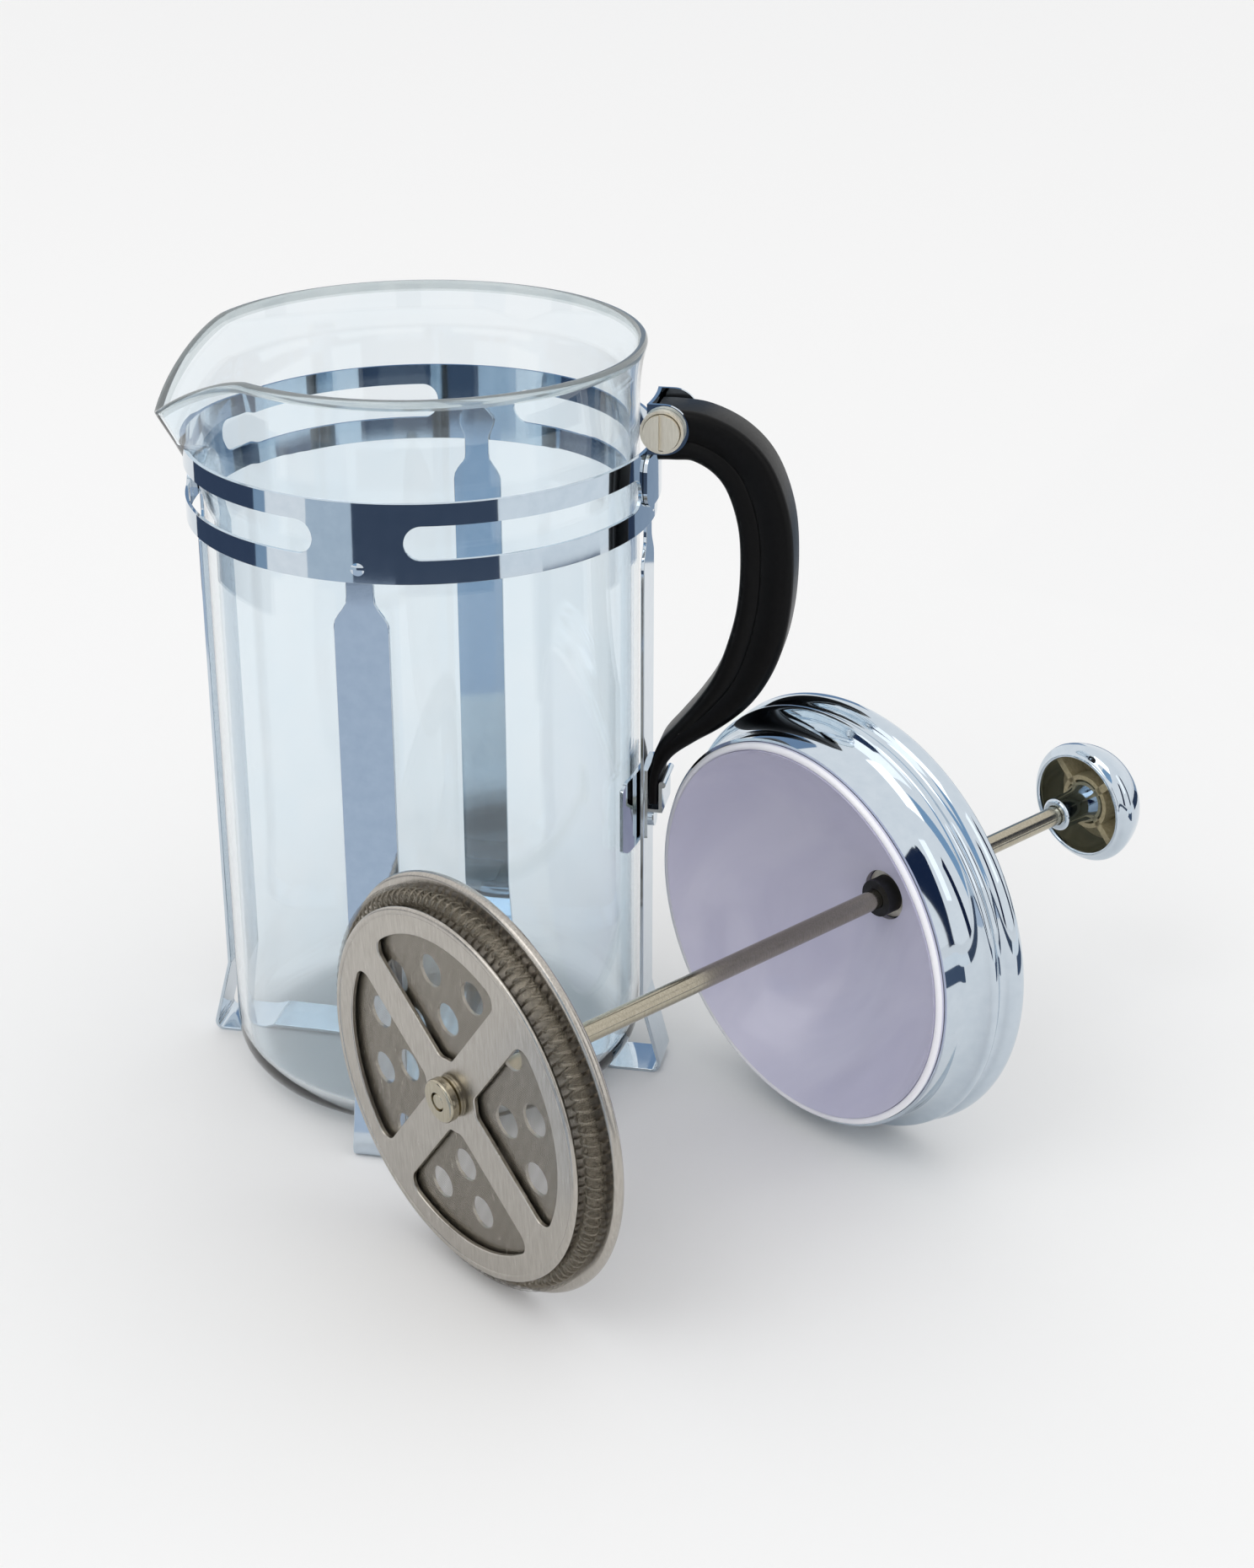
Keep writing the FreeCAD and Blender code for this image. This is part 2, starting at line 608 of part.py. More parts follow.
def coil_centre():
    """Radius and place of the centre of the coil's turns."""
    radius = CHANNEL_RADIUS + COIL_WIRE_SPAN / 2 + LOOSE_GAP
    return radius, -FILTER_RIM - LOOSE_GAP - COIL_WIRE_SPAN / 2


def coil_spring():
    """Outer shape of the coil that presses the gauze against the glass."""
    radius, place = coil_centre()
    return Part.makeTorus(radius, COIL_WIRE_SPAN / 2, Vector(0, 0, place))


def mesh_screen():
    """Gauze disc whose edge folds round the coil."""
    radius, place = coil_centre()
    tube = COIL_WIRE_SPAN / 2 + COIL_WRAP_GAP
    outer = tube + MESH_SHEET
    shell = Part.makeTorus(radius, outer, Vector(0, 0, place)).cut(Part.makeTorus(radius, tube, Vector(0, 0, place)))
    inner_cut = cylinder(radius, 20, Vector(0, 0, place - 10))
    behind = cylinder(2 * radius, 10, Vector(0, 0, place + tube * 0.45))
    shell = shell.cut(inner_cut).cut(behind)
    face = place - outer
    disc = cylinder(radius, MESH_SHEET, Vector(0, 0, face))
    disc = disc.cut(cylinder(THREAD_RADIUS + RUNNING_GAP, MESH_SHEET, Vector(0, 0, face)))
    return disc.fuse(shell)


def window(angle):
    """One of the four kidney windows between the spokes."""
    bottom = -CROSS_PLATE_FACE - 5
    half = SPOKE_WIDTH / 2
    wedge_block = Part.makeBox(100, 100, 10, Vector(half, half, bottom))
    area = ring(WINDOW_OUTER, WINDOW_INNER, bottom, 10).common(wedge_block)
    upright = [edge for edge in area.Edges if edge.BoundBox.ZLength > 9 and edge.BoundBox.XLength < 1e-3]
    area = area.makeFillet(WINDOW_CORNER, upright)
    area.rotate(ORIGIN, UP, angle)
    return area


def cross_plate():
    """Front plate with four spokes and a rim that turns back over the gauze."""
    plate = ring(CROSS_PLATE_RADIUS - 1.4, THREAD_RADIUS + RUNNING_GAP, -CROSS_PLATE_FACE, CROSS_PLATE_THICKNESS)
    for index in range(4):
        plate = plate.cut(window(CROSS_TURN + 90 * index))
    lip = Part.makeTorus(CROSS_PLATE_RADIUS - 1.4, CROSS_PLATE_THICKNESS / 2 + LOOSE_GAP,
                         Vector(0, 0, -CROSS_PLATE_FACE + CROSS_PLATE_THICKNESS / 2))
    return plate.fuse(lip)


def hub_nut():
    """Round nut that clamps the plates on the rod's end."""
    start = -CROSS_PLATE_FACE - SEAT_GAP - HUB_NUT_HEIGHT
    nut = cylinder(HUB_NUT_RADIUS, HUB_NUT_HEIGHT, Vector(0, 0, start))
    rim = [edge for edge in nut.Edges if abs(edge.BoundBox.ZMax - start) < 1e-3 and edge.BoundBox.ZLength < 1e-3]
    nut = nut.makeFillet(0.7, rim)
    return nut.cut(cylinder(THREAD_RADIUS + RUNNING_GAP, HUB_NUT_HEIGHT, Vector(0, 0, start)))


# ---------------------------------------------------------------- lid
def rolled_edge(radius, place, half_length, depth):
    """Convex arc of a turned profile, widest at its middle."""
    return Part.Arc(at_side(radius - depth, place - half_length), at_side(radius, place),
                    at_side(radius - depth, place + half_length)).toShape()


def dome_body(inset):
    """Solid under the lid's outer surface, moved in by the inset."""
    start = LINER_RIM
    foot = at_side(SKIRT_RADIUS - inset, start + LINER_SHEET)
    skirt_end = at_side(SKIRT_RADIUS - inset, start + SKIRT_LENGTH)
    bead = rolled_edge(BEAD_RADIUS - inset, start + BEAD_PLACE, BEAD_HALF, BEAD_DEPTH)
    flange = rolled_edge(FLANGE_RADIUS - inset, start + FLANGE_PLACE, FLANGE_HALF, FLANGE_DEPTH)
    bead_low, bead_high = bead.Vertexes[0].Point, bead.Vertexes[1].Point
    flange_low, flange_high = flange.Vertexes[0].Point, flange.Vertexes[1].Point
    waist = at_side(WAIST_RADIUS - inset, start + (SKIRT_LENGTH + BEAD_PLACE) / 2 + 0.6)
    groove = at_side(GROOVE_RADIUS - inset, (bead_high.z + flange_low.z) / 2)
    crown = start + DOME_HEIGHT - inset
    rise = crown - flange_high.z
    ball = (flange_high.x ** 2 + rise ** 2) / (2 * rise)
    half = flange_high.x / 2
    middle = at_side(half, crown - ball + math.sqrt(ball ** 2 - half ** 2))
    top = at_side(0, crown)
    bottom = at_side(0, foot.z)
    return revolved(profile_face([
        line(foot, skirt_end),
        Part.Arc(skirt_end, waist, bead_low).toShape(),
        bead,
        Part.Arc(bead_high, groove, flange_low).toShape(),
        flange,
        Part.Arc(flange_high, middle, top).toShape(),
        line(top, bottom),
        line(bottom, foot),
    ]))


def lid_dome():
    """Chromed lid: skirt, bead, groove, flange and shallow dome, drawn from one sheet."""
    hole = cylinder(GUIDE_RADIUS + RUNNING_GAP, 2 * DOME_HEIGHT, Vector(0, 0, LINER_RIM))
    return dome_body(0.0).cut(dome_body(LID_SHEET)).cut(hole)


def lid_liner():
    """Plastic liner: a smooth bowl snapped inside the skirt, open towards the filter."""
    rim = LINER_RIM
    mouth = LINER_RADIUS - LINER_LIP
    ball = (mouth ** 2 + LINER_DEPTH ** 2) / (2 * LINER_DEPTH)
    centre_s = rim + LINER_DEPTH - ball

    def bowl_point(radius, size):
        return at_side(radius, centre_s + math.sqrt(size ** 2 - radius ** 2))

    outer_ball = ball + LINER_SHEET
    outer_foot = math.sqrt(outer_ball ** 2 - (rim + LINER_SHEET - centre_s) ** 2)
    edges = [
        Part.Arc(bowl_point(mouth, ball), bowl_point(mouth * 0.6, ball), bowl_point(LINER_HOLE, ball)).toShape(),
        line(bowl_point(LINER_HOLE, ball), bowl_point(LINER_HOLE, outer_ball)),
        Part.Arc(bowl_point(LINER_HOLE, outer_ball), bowl_point(mouth * 0.6, outer_ball),
                 at_side(outer_foot, rim + LINER_SHEET)).toShape(),
        line(at_side(outer_foot, rim + LINER_SHEET), at_side(LINER_RADIUS, rim + LINER_SHEET)),
        line(at_side(LINER_RADIUS, rim + LINER_SHEET), at_side(LINER_RADIUS, rim)),
        line(at_side(LINER_RADIUS, rim), bowl_point(mouth, ball)),
    ]
    return revolved(profile_face(edges))


def rod_guide():
    """Flanged bush in the top of the dome, which the rod slides through."""
    crown = LINER_RIM + DOME_HEIGHT
    bottom = crown - GUIDE_LENGTH
    bush = cylinder(GUIDE_RADIUS, GUIDE_LENGTH + SEAT_GAP, Vector(0, 0, bottom))
    bush = bush.fuse(cylinder(GUIDE_FLANGE_RADIUS, GUIDE_FLANGE, Vector(0, 0, crown + SEAT_GAP)))
    return bush.cut(cylinder(ROD_RADIUS + RUNNING_GAP, 3 * GUIDE_LENGTH, Vector(0, 0, bottom - 1)))


def guide_retainer():
    """Push-on ring that keeps the bush in the dome from below."""
    crown = LINER_RIM + DOME_HEIGHT
    top = crown - LID_SHEET - 0.5
    base = Vector(0, 0, top - SHEET)
    return cylinder(LINER_HOLE - 0.2, SHEET, base).cut(cylinder(GUIDE_RADIUS + SEAT_GAP, SHEET, base))


# ---------------------------------------------------------------- rod and knob
def plunger_rod():
    """Polished rod with a turned-down thread at each end."""
    shoulder = -PLATE_DEPTH + FILTER_SHEET + SEAT_GAP
    low_end = -CROSS_PLATE_FACE - HUB_NUT_HEIGHT + 0.6
    high_shoulder = KNOB_FACE + 1.0
    high_end = KNOB_RIM + KNOB_DEPTH - KNOB_SHELL - INSERT_FLOOR - 1.5
    rod = cylinder(ROD_RADIUS, high_shoulder - shoulder, Vector(0, 0, shoulder))
    rod = rod.fuse(cylinder(THREAD_RADIUS, shoulder - low_end, Vector(0, 0, low_end)))
    return rod.fuse(cylinder(THREAD_RADIUS, high_end - high_shoulder, Vector(0, 0, high_shoulder)))


def knob_dome(inset, mouth):
    """Solid inside the knob's dome at an inset."""
    widest = KNOB_RADIUS - inset
    height = KNOB_DEPTH - inset
    side = curve([
        at_side(mouth, KNOB_RIM),
        at_side(widest, KNOB_RIM + 0.2 * KNOB_DEPTH),
        at_side(widest * 0.82, KNOB_RIM + height * 0.68),
        at_side(widest * 0.45, KNOB_RIM + height * 0.94),
        at_side(0, KNOB_RIM + height),
    ])
    return revolved(profile_face([
        side,
        line(at_side(0, KNOB_RIM + height), at_side(0, KNOB_RIM)),
        line(at_side(0, KNOB_RIM), at_side(mouth, KNOB_RIM)),
    ]))


def knob_parts():
    """Chromed shell, ribbed moulded core and turned boss."""
    shell = knob_dome(0.0, KNOB_MOUTH + KNOB_SHELL).cut(knob_dome(KNOB_SHELL, KNOB_MOUTH))
    room = knob_dome(KNOB_SHELL + LOOSE_GAP, KNOB_MOUTH - LOOSE_GAP)
    crown = KNOB_RIM + KNOB_DEPTH - KNOB_SHELL
    floor = room.common(Part.makeBox(60, 60, 60, Vector(-30, -30, crown - INSERT_FLOOR - 1.2)))
    ribs = floor
    length = crown - KNOB_RIM - 2.5
    for angle in (0, 90):
        rib = Part.makeBox(60, RIB_WIDTH, length, Vector(-30, -RIB_WIDTH / 2, KNOB_RIM + 2.5))
        rib.rotate(ORIGIN, UP, angle + 45)
        ribs = ribs.fuse(rib.common(room))
    sleeve = cylinder(BOSS_BASE_RADIUS + 1.2, length, Vector(0, 0, KNOB_RIM + 2.5))
    core = ribs.fuse(sleeve.common(room)).removeSplitter()
    boss = cylinder(BOSS_RADIUS, KNOB_RIM + 3.0 - KNOB_FACE, Vector(0, 0, KNOB_FACE))
    flare = Part.makeCone(BOSS_RADIUS, BOSS_BASE_RADIUS, 4.0, Vector(0, 0, KNOB_RIM - 1.0))
    stem_top = crown - INSERT_FLOOR - 0.8
    stem = cylinder(BOSS_BASE_RADIUS, stem_top - KNOB_RIM - 3.0, Vector(0, 0, KNOB_RIM + 3.0))
    boss = boss.fuse(flare).fuse(stem).removeSplitter()
    socket = cylinder(BOSS_BASE_RADIUS + SEAT_GAP, stem_top + SEAT_GAP - KNOB_RIM, Vector(0, 0, KNOB_RIM))
    core = core.cut(socket)
    bore = cylinder(THREAD_RADIUS + RUNNING_GAP, 60, Vector(0, 0, KNOB_FACE - 1))
    rod_seat = cylinder(ROD_RADIUS + RUNNING_GAP, 1.0 + SEAT_GAP, Vector(0, 0, KNOB_FACE))
    return shell, core, boss.cut(bore).cut(rod_seat)


# ---------------------------------------------------------------- assembly
def lay_down(shape):
    """Turn a plunger piece from its own upright axis to where it lies, on the filter's rim and the lid's flange."""
    slope = math.degrees(math.atan2(FLANGE_RADIUS - FILTER_RADIUS, LINER_RIM + FLANGE_PLACE + FILTER_RIM / 2))
    laid = shape.copy()
    laid.rotate(ORIGIN, Vector(0, 1, 0), 90 - slope)
    laid.rotate(ORIGIN, UP, PLUNGER_HEADING)
    height = FILTER_RADIUS * math.cos(math.radians(slope)) + FILTER_RIM / 2 * math.sin(math.radians(slope))
    laid.translate(Vector(FILTER_PLACE[0], FILTER_PLACE[1], height))
    return laid


def main():
    """Build every node."""
    os.makedirs("parts", exist_ok=True)
    screw, washer, nut = screw_parts()
    lengthwise = leg_strap(SHEET)
    standing = {
        "glass_beaker": glass_beaker(),
        "frame_band": frame_band(),
        "lengthwise_leg_strap": lengthwise.cut(rivet_hole()),
        "crosswise_leg_strap": crosswise_strap(),
        "handle_bracket": handle_bracket(),
        "handle_grip": handle_grip(),
        "handle_screw": screw,
        "screw_washer": washer,
        "handle_nut": nut,
        "lower_handle_clip": lower_handle_clip(),
        "handle_saddle": handle_saddle(),
        "clip_rivet": clip_rivet(),
    }
    shell, core, boss = knob_parts()
    lying = {
        "perforated_plate": perforated_plate(),
        "coil_spring": coil_spring(),
        "mesh_screen": mesh_screen(),
        "cross_plate": cross_plate(),
        "hub_nut": hub_nut(),
        "lid_dome": lid_dome(),
        "lid_liner": lid_liner(),
        "rod_guide": rod_guide(),
        "guide_retainer": guide_retainer(),
        "plunger_rod": plunger_rod(),
        "knob_shell": shell,
        "knob_core": core,
        "knob_boss": boss,
    }
    for name, shape in standing.items():
        save(name, shape)
    for name, shape in lying.items():
        save(name, lay_down(shape))


main()
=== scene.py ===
"""French press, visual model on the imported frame. Metres, +Z up, +X towards the handle."""
import json
import logging
import math
from dataclasses import dataclass
from enum import Enum
from typing import Iterable, Sequence

import bmesh
import bpy
from mathutils import Matrix, Vector


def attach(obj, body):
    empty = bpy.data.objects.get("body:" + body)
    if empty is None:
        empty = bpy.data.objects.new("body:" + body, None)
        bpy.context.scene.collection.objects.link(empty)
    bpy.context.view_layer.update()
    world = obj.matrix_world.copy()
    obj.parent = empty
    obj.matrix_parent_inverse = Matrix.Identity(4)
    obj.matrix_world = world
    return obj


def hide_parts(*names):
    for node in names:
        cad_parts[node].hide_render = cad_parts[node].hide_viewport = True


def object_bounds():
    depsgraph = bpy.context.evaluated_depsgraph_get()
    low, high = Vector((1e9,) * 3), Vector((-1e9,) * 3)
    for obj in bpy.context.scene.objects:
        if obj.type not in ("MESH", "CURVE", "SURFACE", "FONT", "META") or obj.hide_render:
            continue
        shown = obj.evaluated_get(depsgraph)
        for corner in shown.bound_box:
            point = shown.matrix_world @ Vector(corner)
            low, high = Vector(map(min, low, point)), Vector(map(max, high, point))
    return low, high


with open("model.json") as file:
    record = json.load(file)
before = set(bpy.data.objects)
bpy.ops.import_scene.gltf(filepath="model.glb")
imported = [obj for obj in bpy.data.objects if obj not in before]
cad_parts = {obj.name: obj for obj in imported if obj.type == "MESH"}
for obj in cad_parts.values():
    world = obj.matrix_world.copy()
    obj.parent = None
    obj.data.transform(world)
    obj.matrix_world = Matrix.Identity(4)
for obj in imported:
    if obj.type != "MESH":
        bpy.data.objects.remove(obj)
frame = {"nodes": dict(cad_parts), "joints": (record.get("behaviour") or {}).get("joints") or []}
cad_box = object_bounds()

logging.basicConfig(level=logging.INFO, format="%(levelname)s %(message)s")
log = logging.getLogger("french_press")

MM = 0.001
FULL_TURN = 2 * math.pi
Point2 = tuple[float, float]
Profile = list[Point2]
Mesh = bmesh.types.BMesh


class Body(Enum):
    """Rigid bodies of the frame that pieces ride on."""

    STAND = "stand"
    BEAKER = "beaker"
    LID = "lid"
    PLUNGER = "plunger"
    KNOB = "knob"
    FILTER = "filter"


class Grain(Enum):
    """Surface pattern that a finish carries."""

    MICRO = "micro"
    BRUSHED = "brushed"
    MOULDED = "moulded"
    WOVEN = "woven"
    SWIRLED = "swirled"


@dataclass(frozen=True)
class Finish:
    """One material.

    Args:
        name: what the material is.
        colour: sRGB hex colour.
        second: sRGB hex colour that the grain drifts towards.
        metallic: 0 or 1.
        roughness: base roughness.
        grain: pattern kind.
        pattern: size of the pattern in millimetres.
        bump: height of the pattern in millimetres.
        transmission: share of light that passes through.
        coat: weight of a clear coat.
        gloss: specular level; 0.5 is plain plastic.
    """

    name: str
    colour: str
    second: str
    metallic: float
    roughness: float
    grain: Grain
    pattern: float = 1.0
    bump: float = 0.0
    transmission: float = 0.0
    coat: float = 0.0
    gloss: float = 0.5


# Nickel-chrome plate on pressed steel: a cold mirror with a faint haze, on band, straps, lid and knob.
CHROME = Finish("chromed_steel", "#ccd6df", "#c5d0da", 1.0, 0.05, Grain.MICRO, 3.0, 0.0006)
# Moulded borosilicate glass: clear, with a slow waviness that bends what lies behind it.
GLASS = Finish("clear_glass", "#f5fafd", "#f1f8fc", 0.0, 0.0, Grain.MICRO, 18.0, 0.004,
               transmission=1.0)
# Fire-polished edge of the same glass: the pale line where it gathers light is painted, as a paler and less
# clear copy of the glass (a painted highlight).
GLASS_RIM_PAINTED_HIGHLIGHT = Finish("glass_rim_painted_highlight", "#dbe3e5", "#cfdadd", 0.0, 0.05, Grain.MICRO, 12.0,
                   transmission=0.75)
# Moulded phenolic: black, with a fine satin texture and dull highlights.
GRIP_PLASTIC = Finish("black_handle", "#050506", "#09090a", 0.0, 0.36, Grain.MOULDED, 0.8, 0.006,
                      gloss=0.14)
# Turned and nickel-plated steel of screw, washer and nut: warm, with soft lathe marks.
SCREW_STEEL = Finish("screw_steel", "#efe8d8", "#e2dac8", 1.0, 0.45, Grain.BRUSHED, 0.4, 0.002)
# Rolled and pressed stainless sheet of the filter plates: soft reflections drawn along the rolling.
FILTER_STEEL = Finish("filter_steel", "#bdb8b1", "#aaa59d", 1.0, 0.25, Grain.BRUSHED, 0.5, 0.002)
# Woven stainless gauze: dull wires, and gaps that let the holes behind show. The real mesh is finer;
# this one is as coarse as it needs to be to show.
GAUZE = Finish("gauze_steel", "#8f8778", "#665f52", 1.0, 0.42, Grain.WOVEN, 0.45, 0.05)
# Drawn spring wire: small bright turns with a brown cast.
COIL_WIRE = Finish("coil_steel", "#a39c90", "#8c857a", 1.0, 0.3, Grain.BRUSHED, 0.3, 0.002)
# Ground and polished stainless rod: one clear highlight along its length.
ROD_STEEL = Finish("rod_steel", "#b8b1a0", "#a69f8d", 1.0, 0.17, Grain.BRUSHED, 0.35, 0.002)
# Moulded polypropylene of the lid's liner: milky, with faint flow marks and a soft gloss; its lilac tint is a
# painted reflection of the surroundings.
LINER_PLASTIC = Finish("white_plastic", "#d6d5e8", "#cccbe1", 0.0, 0.2, Grain.SWIRLED, 40.0, coat=0.2)
# Rounded mouth of the same moulding: its whiter colour is a painted highlight, standing in for the light that
# the ring catches.
LINER_PAINTED_HIGHLIGHT = Finish("white_plastic_painted_highlight", "#f6f6fb", "#eeeef6", 0.0, 0.18, Grain.SWIRLED, 40.0, coat=0.3)
# Moulded nylon bush that guides the rod: black, with hardly a highlight.
GUIDE_PLASTIC = Finish("black_plastic", "#0a0a0a", "#101011", 0.0, 0.5, Grain.MOULDED, 0.5, 0.004)
# Moulded ABS inside the knob: olive brown and satin.
KNOB_PLASTIC = Finish("knob_core_plastic", "#b5a783", "#9c8f6e", 0.0, 0.45, Grain.MOULDED, 0.7, 0.006)


# ------------------------------------------------------------------ frame facts
def joint(name: str) -> dict:
    """Find a joint of the frame by name.

    Args:
        name: the joint's name.

    Returns:
        The joint's record.
    """
    return next(item for item in frame["joints"] if item["name"] == name)


def plunger_place() -> Matrix:
    """Placement of the plunger's own upright axis in the row frame, in millimetres."""
    along = -Vector(joint("plunge")["axis"]).normalized()
    level = Vector((-along.y, along.x, 0.0)).normalized()
    down = level.cross(along)
    start = Vector(joint("filter_turn")["pos_m"]) / MM
    turn = Matrix((down, level, along)).transposed()
    return Matrix.Translation(start) @ turn.to_4x4()


UPRIGHT = Matrix.Identity(4)
PLUNGER = plunger_place()


# ------------------------------------------------------------------ outlines
def arc(centre: Point2, radius: float, start: float, end: float, count: int) -> Profile:
    """Points of an arc, both ends included.

    Args:
        centre: centre of the arc.
        radius: radius.
        start: first angle in degrees.
        end: last angle in degrees.
        count: number of spans.

    Returns:
        count + 1 points.
    """
    turns = (math.radians(start + (end - start) * i / count) for i in range(count + 1))
    return [(centre[0] + radius * math.cos(t), centre[1] + radius * math.sin(t)) for t in turns]


def circle(radius: float, steps: int, centre: Point2 = (0.0, 0.0)) -> Profile:
    """Points of a circle.

    Args:
        radius: radius.
        steps: number of points.
        centre: centre.

    Returns:
        Points, the first one not repeated.
    """
    turns = (FULL_TURN * i / steps for i in range(steps))
    return [(centre[0] + radius * math.cos(t), centre[1] + radius * math.sin(t)) for t in turns]


def polar(radius: float, turn: float) -> Point2:
    """Point at a distance and an angle in degrees."""
    return radius * math.cos(math.radians(turn)), radius * math.sin(math.radians(turn))


def bow(first: Point2, middle: Point2, last: Point2, count: int) -> Profile:
    """Circular arc through three points.

    Args:
        first: start.
        middle: a point between.
        last: end.
        count: number of spans.

    Returns:
        count + 1 points.
    """
    ax, ay = first
    bx, by = middle
    cx, cy = last
    double = 2 * (ax * (by - cy) + bx * (cy - ay) + cx * (ay - by))
    if abs(double) < 1e-6:
        return [first, middle, last]
    sa, sb, sc = ax * ax + ay * ay, bx * bx + by * by, cx * cx + cy * cy
    ux = (sa * (by - cy) + sb * (cy - ay) + sc * (ay - by)) / double
    uy = (sa * (cx - bx) + sb * (ax - cx) + sc * (bx - ax)) / double
    angles = [math.atan2(y - uy, x - ux) for x, y in (first, middle, last)]
    sweep = (angles[2] - angles[0]) % FULL_TURN
    if (angles[1] - angles[0]) % FULL_TURN > sweep:
        sweep -= FULL_TURN
    radius = math.hypot(ax - ux, ay - uy)
    start = math.degrees(angles[0])
    return arc((ux, uy), radius, start, start + math.degrees(sweep), count)


def smooth_run(points: Sequence[Sequence[float]], spans: int) -> list[tuple[float, ...]]:
    """Catmull-Rom curve through points of any size.

    Args:
        points: points to pass through.
        spans: spans between neighbours.

    Returns:
        Points of the curve.
    """
    count = len(points)
    run = []
    for i in range(count - 1):
        p = [points[max(i - 1, 0)], points[i], points[i + 1], points[min(i + 2, count - 1)]]
        for step in range(spans):
            t = step / spans
            run.append(tuple(
                0.5 * (2 * b + (c - a) * t + (2 * a - 5 * b + 4 * c - d) * t * t
                       + (3 * b - a - 3 * c + d) * t ** 3)
                for a, b, c, d in zip(*p)))
    run.append(tuple(points[-1]))
    return run


def rounded_corners(points: Profile, radius: float, spans: int = 6) -> Profile:
    """Open outline with every inner corner rounded.

    Args:
        points: corners.
        radius: corner radius.
        spans: spans in each corner.

    Returns:
        Points of the outline.
    """
    run = [points[0]]
    for before, corner, after in zip(points, points[1:-1], points[2:]):
        here = Vector(corner)
        inward = (Vector(before) - here).normalized()
        outward = (Vector(after) - here).normalized()
        half = (math.pi - inward.angle(outward)) / 2
        back = radius * math.tan(half)
        middle = here + (inward + outward).normalized() * (radius / math.cos(half) - radius)
        ends = tuple(here + inward * back), tuple(here + outward * back)
        run.extend(bow(ends[0], tuple(middle), ends[1], spans))
    run.append(points[-1])
    return run


def even_run(points: Profile, step: float) -> Profile:
    """The same outline with long spans divided.

    Args:
        points: outline.
        step: longest span allowed.

    Returns:
        Points of the outline.
    """
    run = [points[0]]
    for start, end in zip(points, points[1:]):
        count = max(1, math.ceil(math.dist(start, end) / step))
        for i in range(1, count + 1):
            run.append(tuple(a + (b - a) * i / count for a, b in zip(start, end)))
    return run


# ------------------------------------------------------------------ meshes
SHARP = 35.0                # degrees above which an edge stays sharp
MERGE = 1e-4                # millimetres within which points are one


def spun(profile: Profile, closed: bool = True, steps: int = 160) -> Mesh:
    """Turn a profile once round Z.

    Args:
        profile: radius and height of each point.
        closed: join the last point to the first.
        steps: spans round the turn.

    Returns:
        A new mesh.
    """
    bm = bmesh.new()
    verts = [bm.verts.new((radius, 0.0, height)) for radius, height in profile]
    edges = [bm.edges.new(pair) for pair in zip(verts, verts[1:])]
    if closed:
        edges.append(bm.edges.new((verts[-1], verts[0])))
    bmesh.ops.spin(bm, geom=verts + edges, axis=(0, 0, 1), cent=(0, 0, 0), dvec=(0, 0, 0),
                   angle=FULL_TURN, steps=steps, use_merge=True, use_duplicate=False)
    bmesh.ops.remove_doubles(bm, verts=bm.verts, dist=MERGE)
    return bm


def swept(sections: Sequence[Sequence[Vector]], ring: bool = False) -> Mesh:
    """Skin a row of closed sections.

    Args:
        sections: rings of points, all of one length.
        ring: join the last section to the first; otherwise both ends are closed.

    Returns:
        A new mesh.
    """
    bm = bmesh.new()
    rows = [[bm.verts.new(point) for point in section] for section in sections]
    pairs = list(zip(rows, rows[1:]))
    if ring:
        pairs.append((rows[-1], rows[0]))
    for low, high in pairs:
        count = len(low)
        for i in range(count):
            j = (i + 1) % count
            bm.faces.new((low[i], low[j], high[j], high[i]))
    if not ring:
        bm.faces.new(list(reversed(rows[0])))
        bm.faces.new(rows[-1])
    return bm


def plate(loops: Sequence[Profile], low: float, high: float) -> Mesh:
    """Flat sheet with an outline and holes.

    Args:
        loops: outline first, then holes, each as points in XY.
        low: height of the lower face.
        high: height of the upper face.

    Returns:
        A new mesh.
    """
    bm = bmesh.new()
    edges = []
    for loop in loops:
        verts = [bm.verts.new((x, y, low)) for x, y in loop]
        edges.extend(bm.edges.new(pair) for pair in zip(verts, verts[1:] + verts[:1]))
    bmesh.ops.triangle_fill(bm, edges=edges, use_beauty=True, use_dissolve=False, normal=(0, 0, 1))
    grown = bmesh.ops.extrude_face_region(bm, geom=bm.faces[:])
    top = [item for item in grown["geom"] if isinstance(item, bmesh.types.BMVert)]
    bmesh.ops.translate(bm, verts=top, vec=(0, 0, high - low))
    return bm


def joined(*meshes: Mesh) -> Mesh:
    """Put several meshes into the first one.

    Args:
        meshes: meshes to join; all but the first are freed.

    Returns:
        The first mesh.
    """
    target = meshes[0]
    for extra in meshes[1:]:
        passing = bpy.data.meshes.new("passing")
        extra.to_mesh(passing)
        extra.free()
        target.from_mesh(passing)
        bpy.data.meshes.remove(passing)
    return target


def shown(name: str, bm: Mesh) -> bpy.types.Object:
    """Put a mesh in the scene as an object.

    Args:
        name: name of the object and its mesh.
        bm: mesh in metres; it is freed.

    Returns:
        The object.
    """
    mesh = bpy.data.meshes.new(name)
    bm.to_mesh(mesh)
    bm.free()
    made = bpy.data.objects.new(name, mesh)
    bpy.context.scene.collection.objects.link(made)
    return made


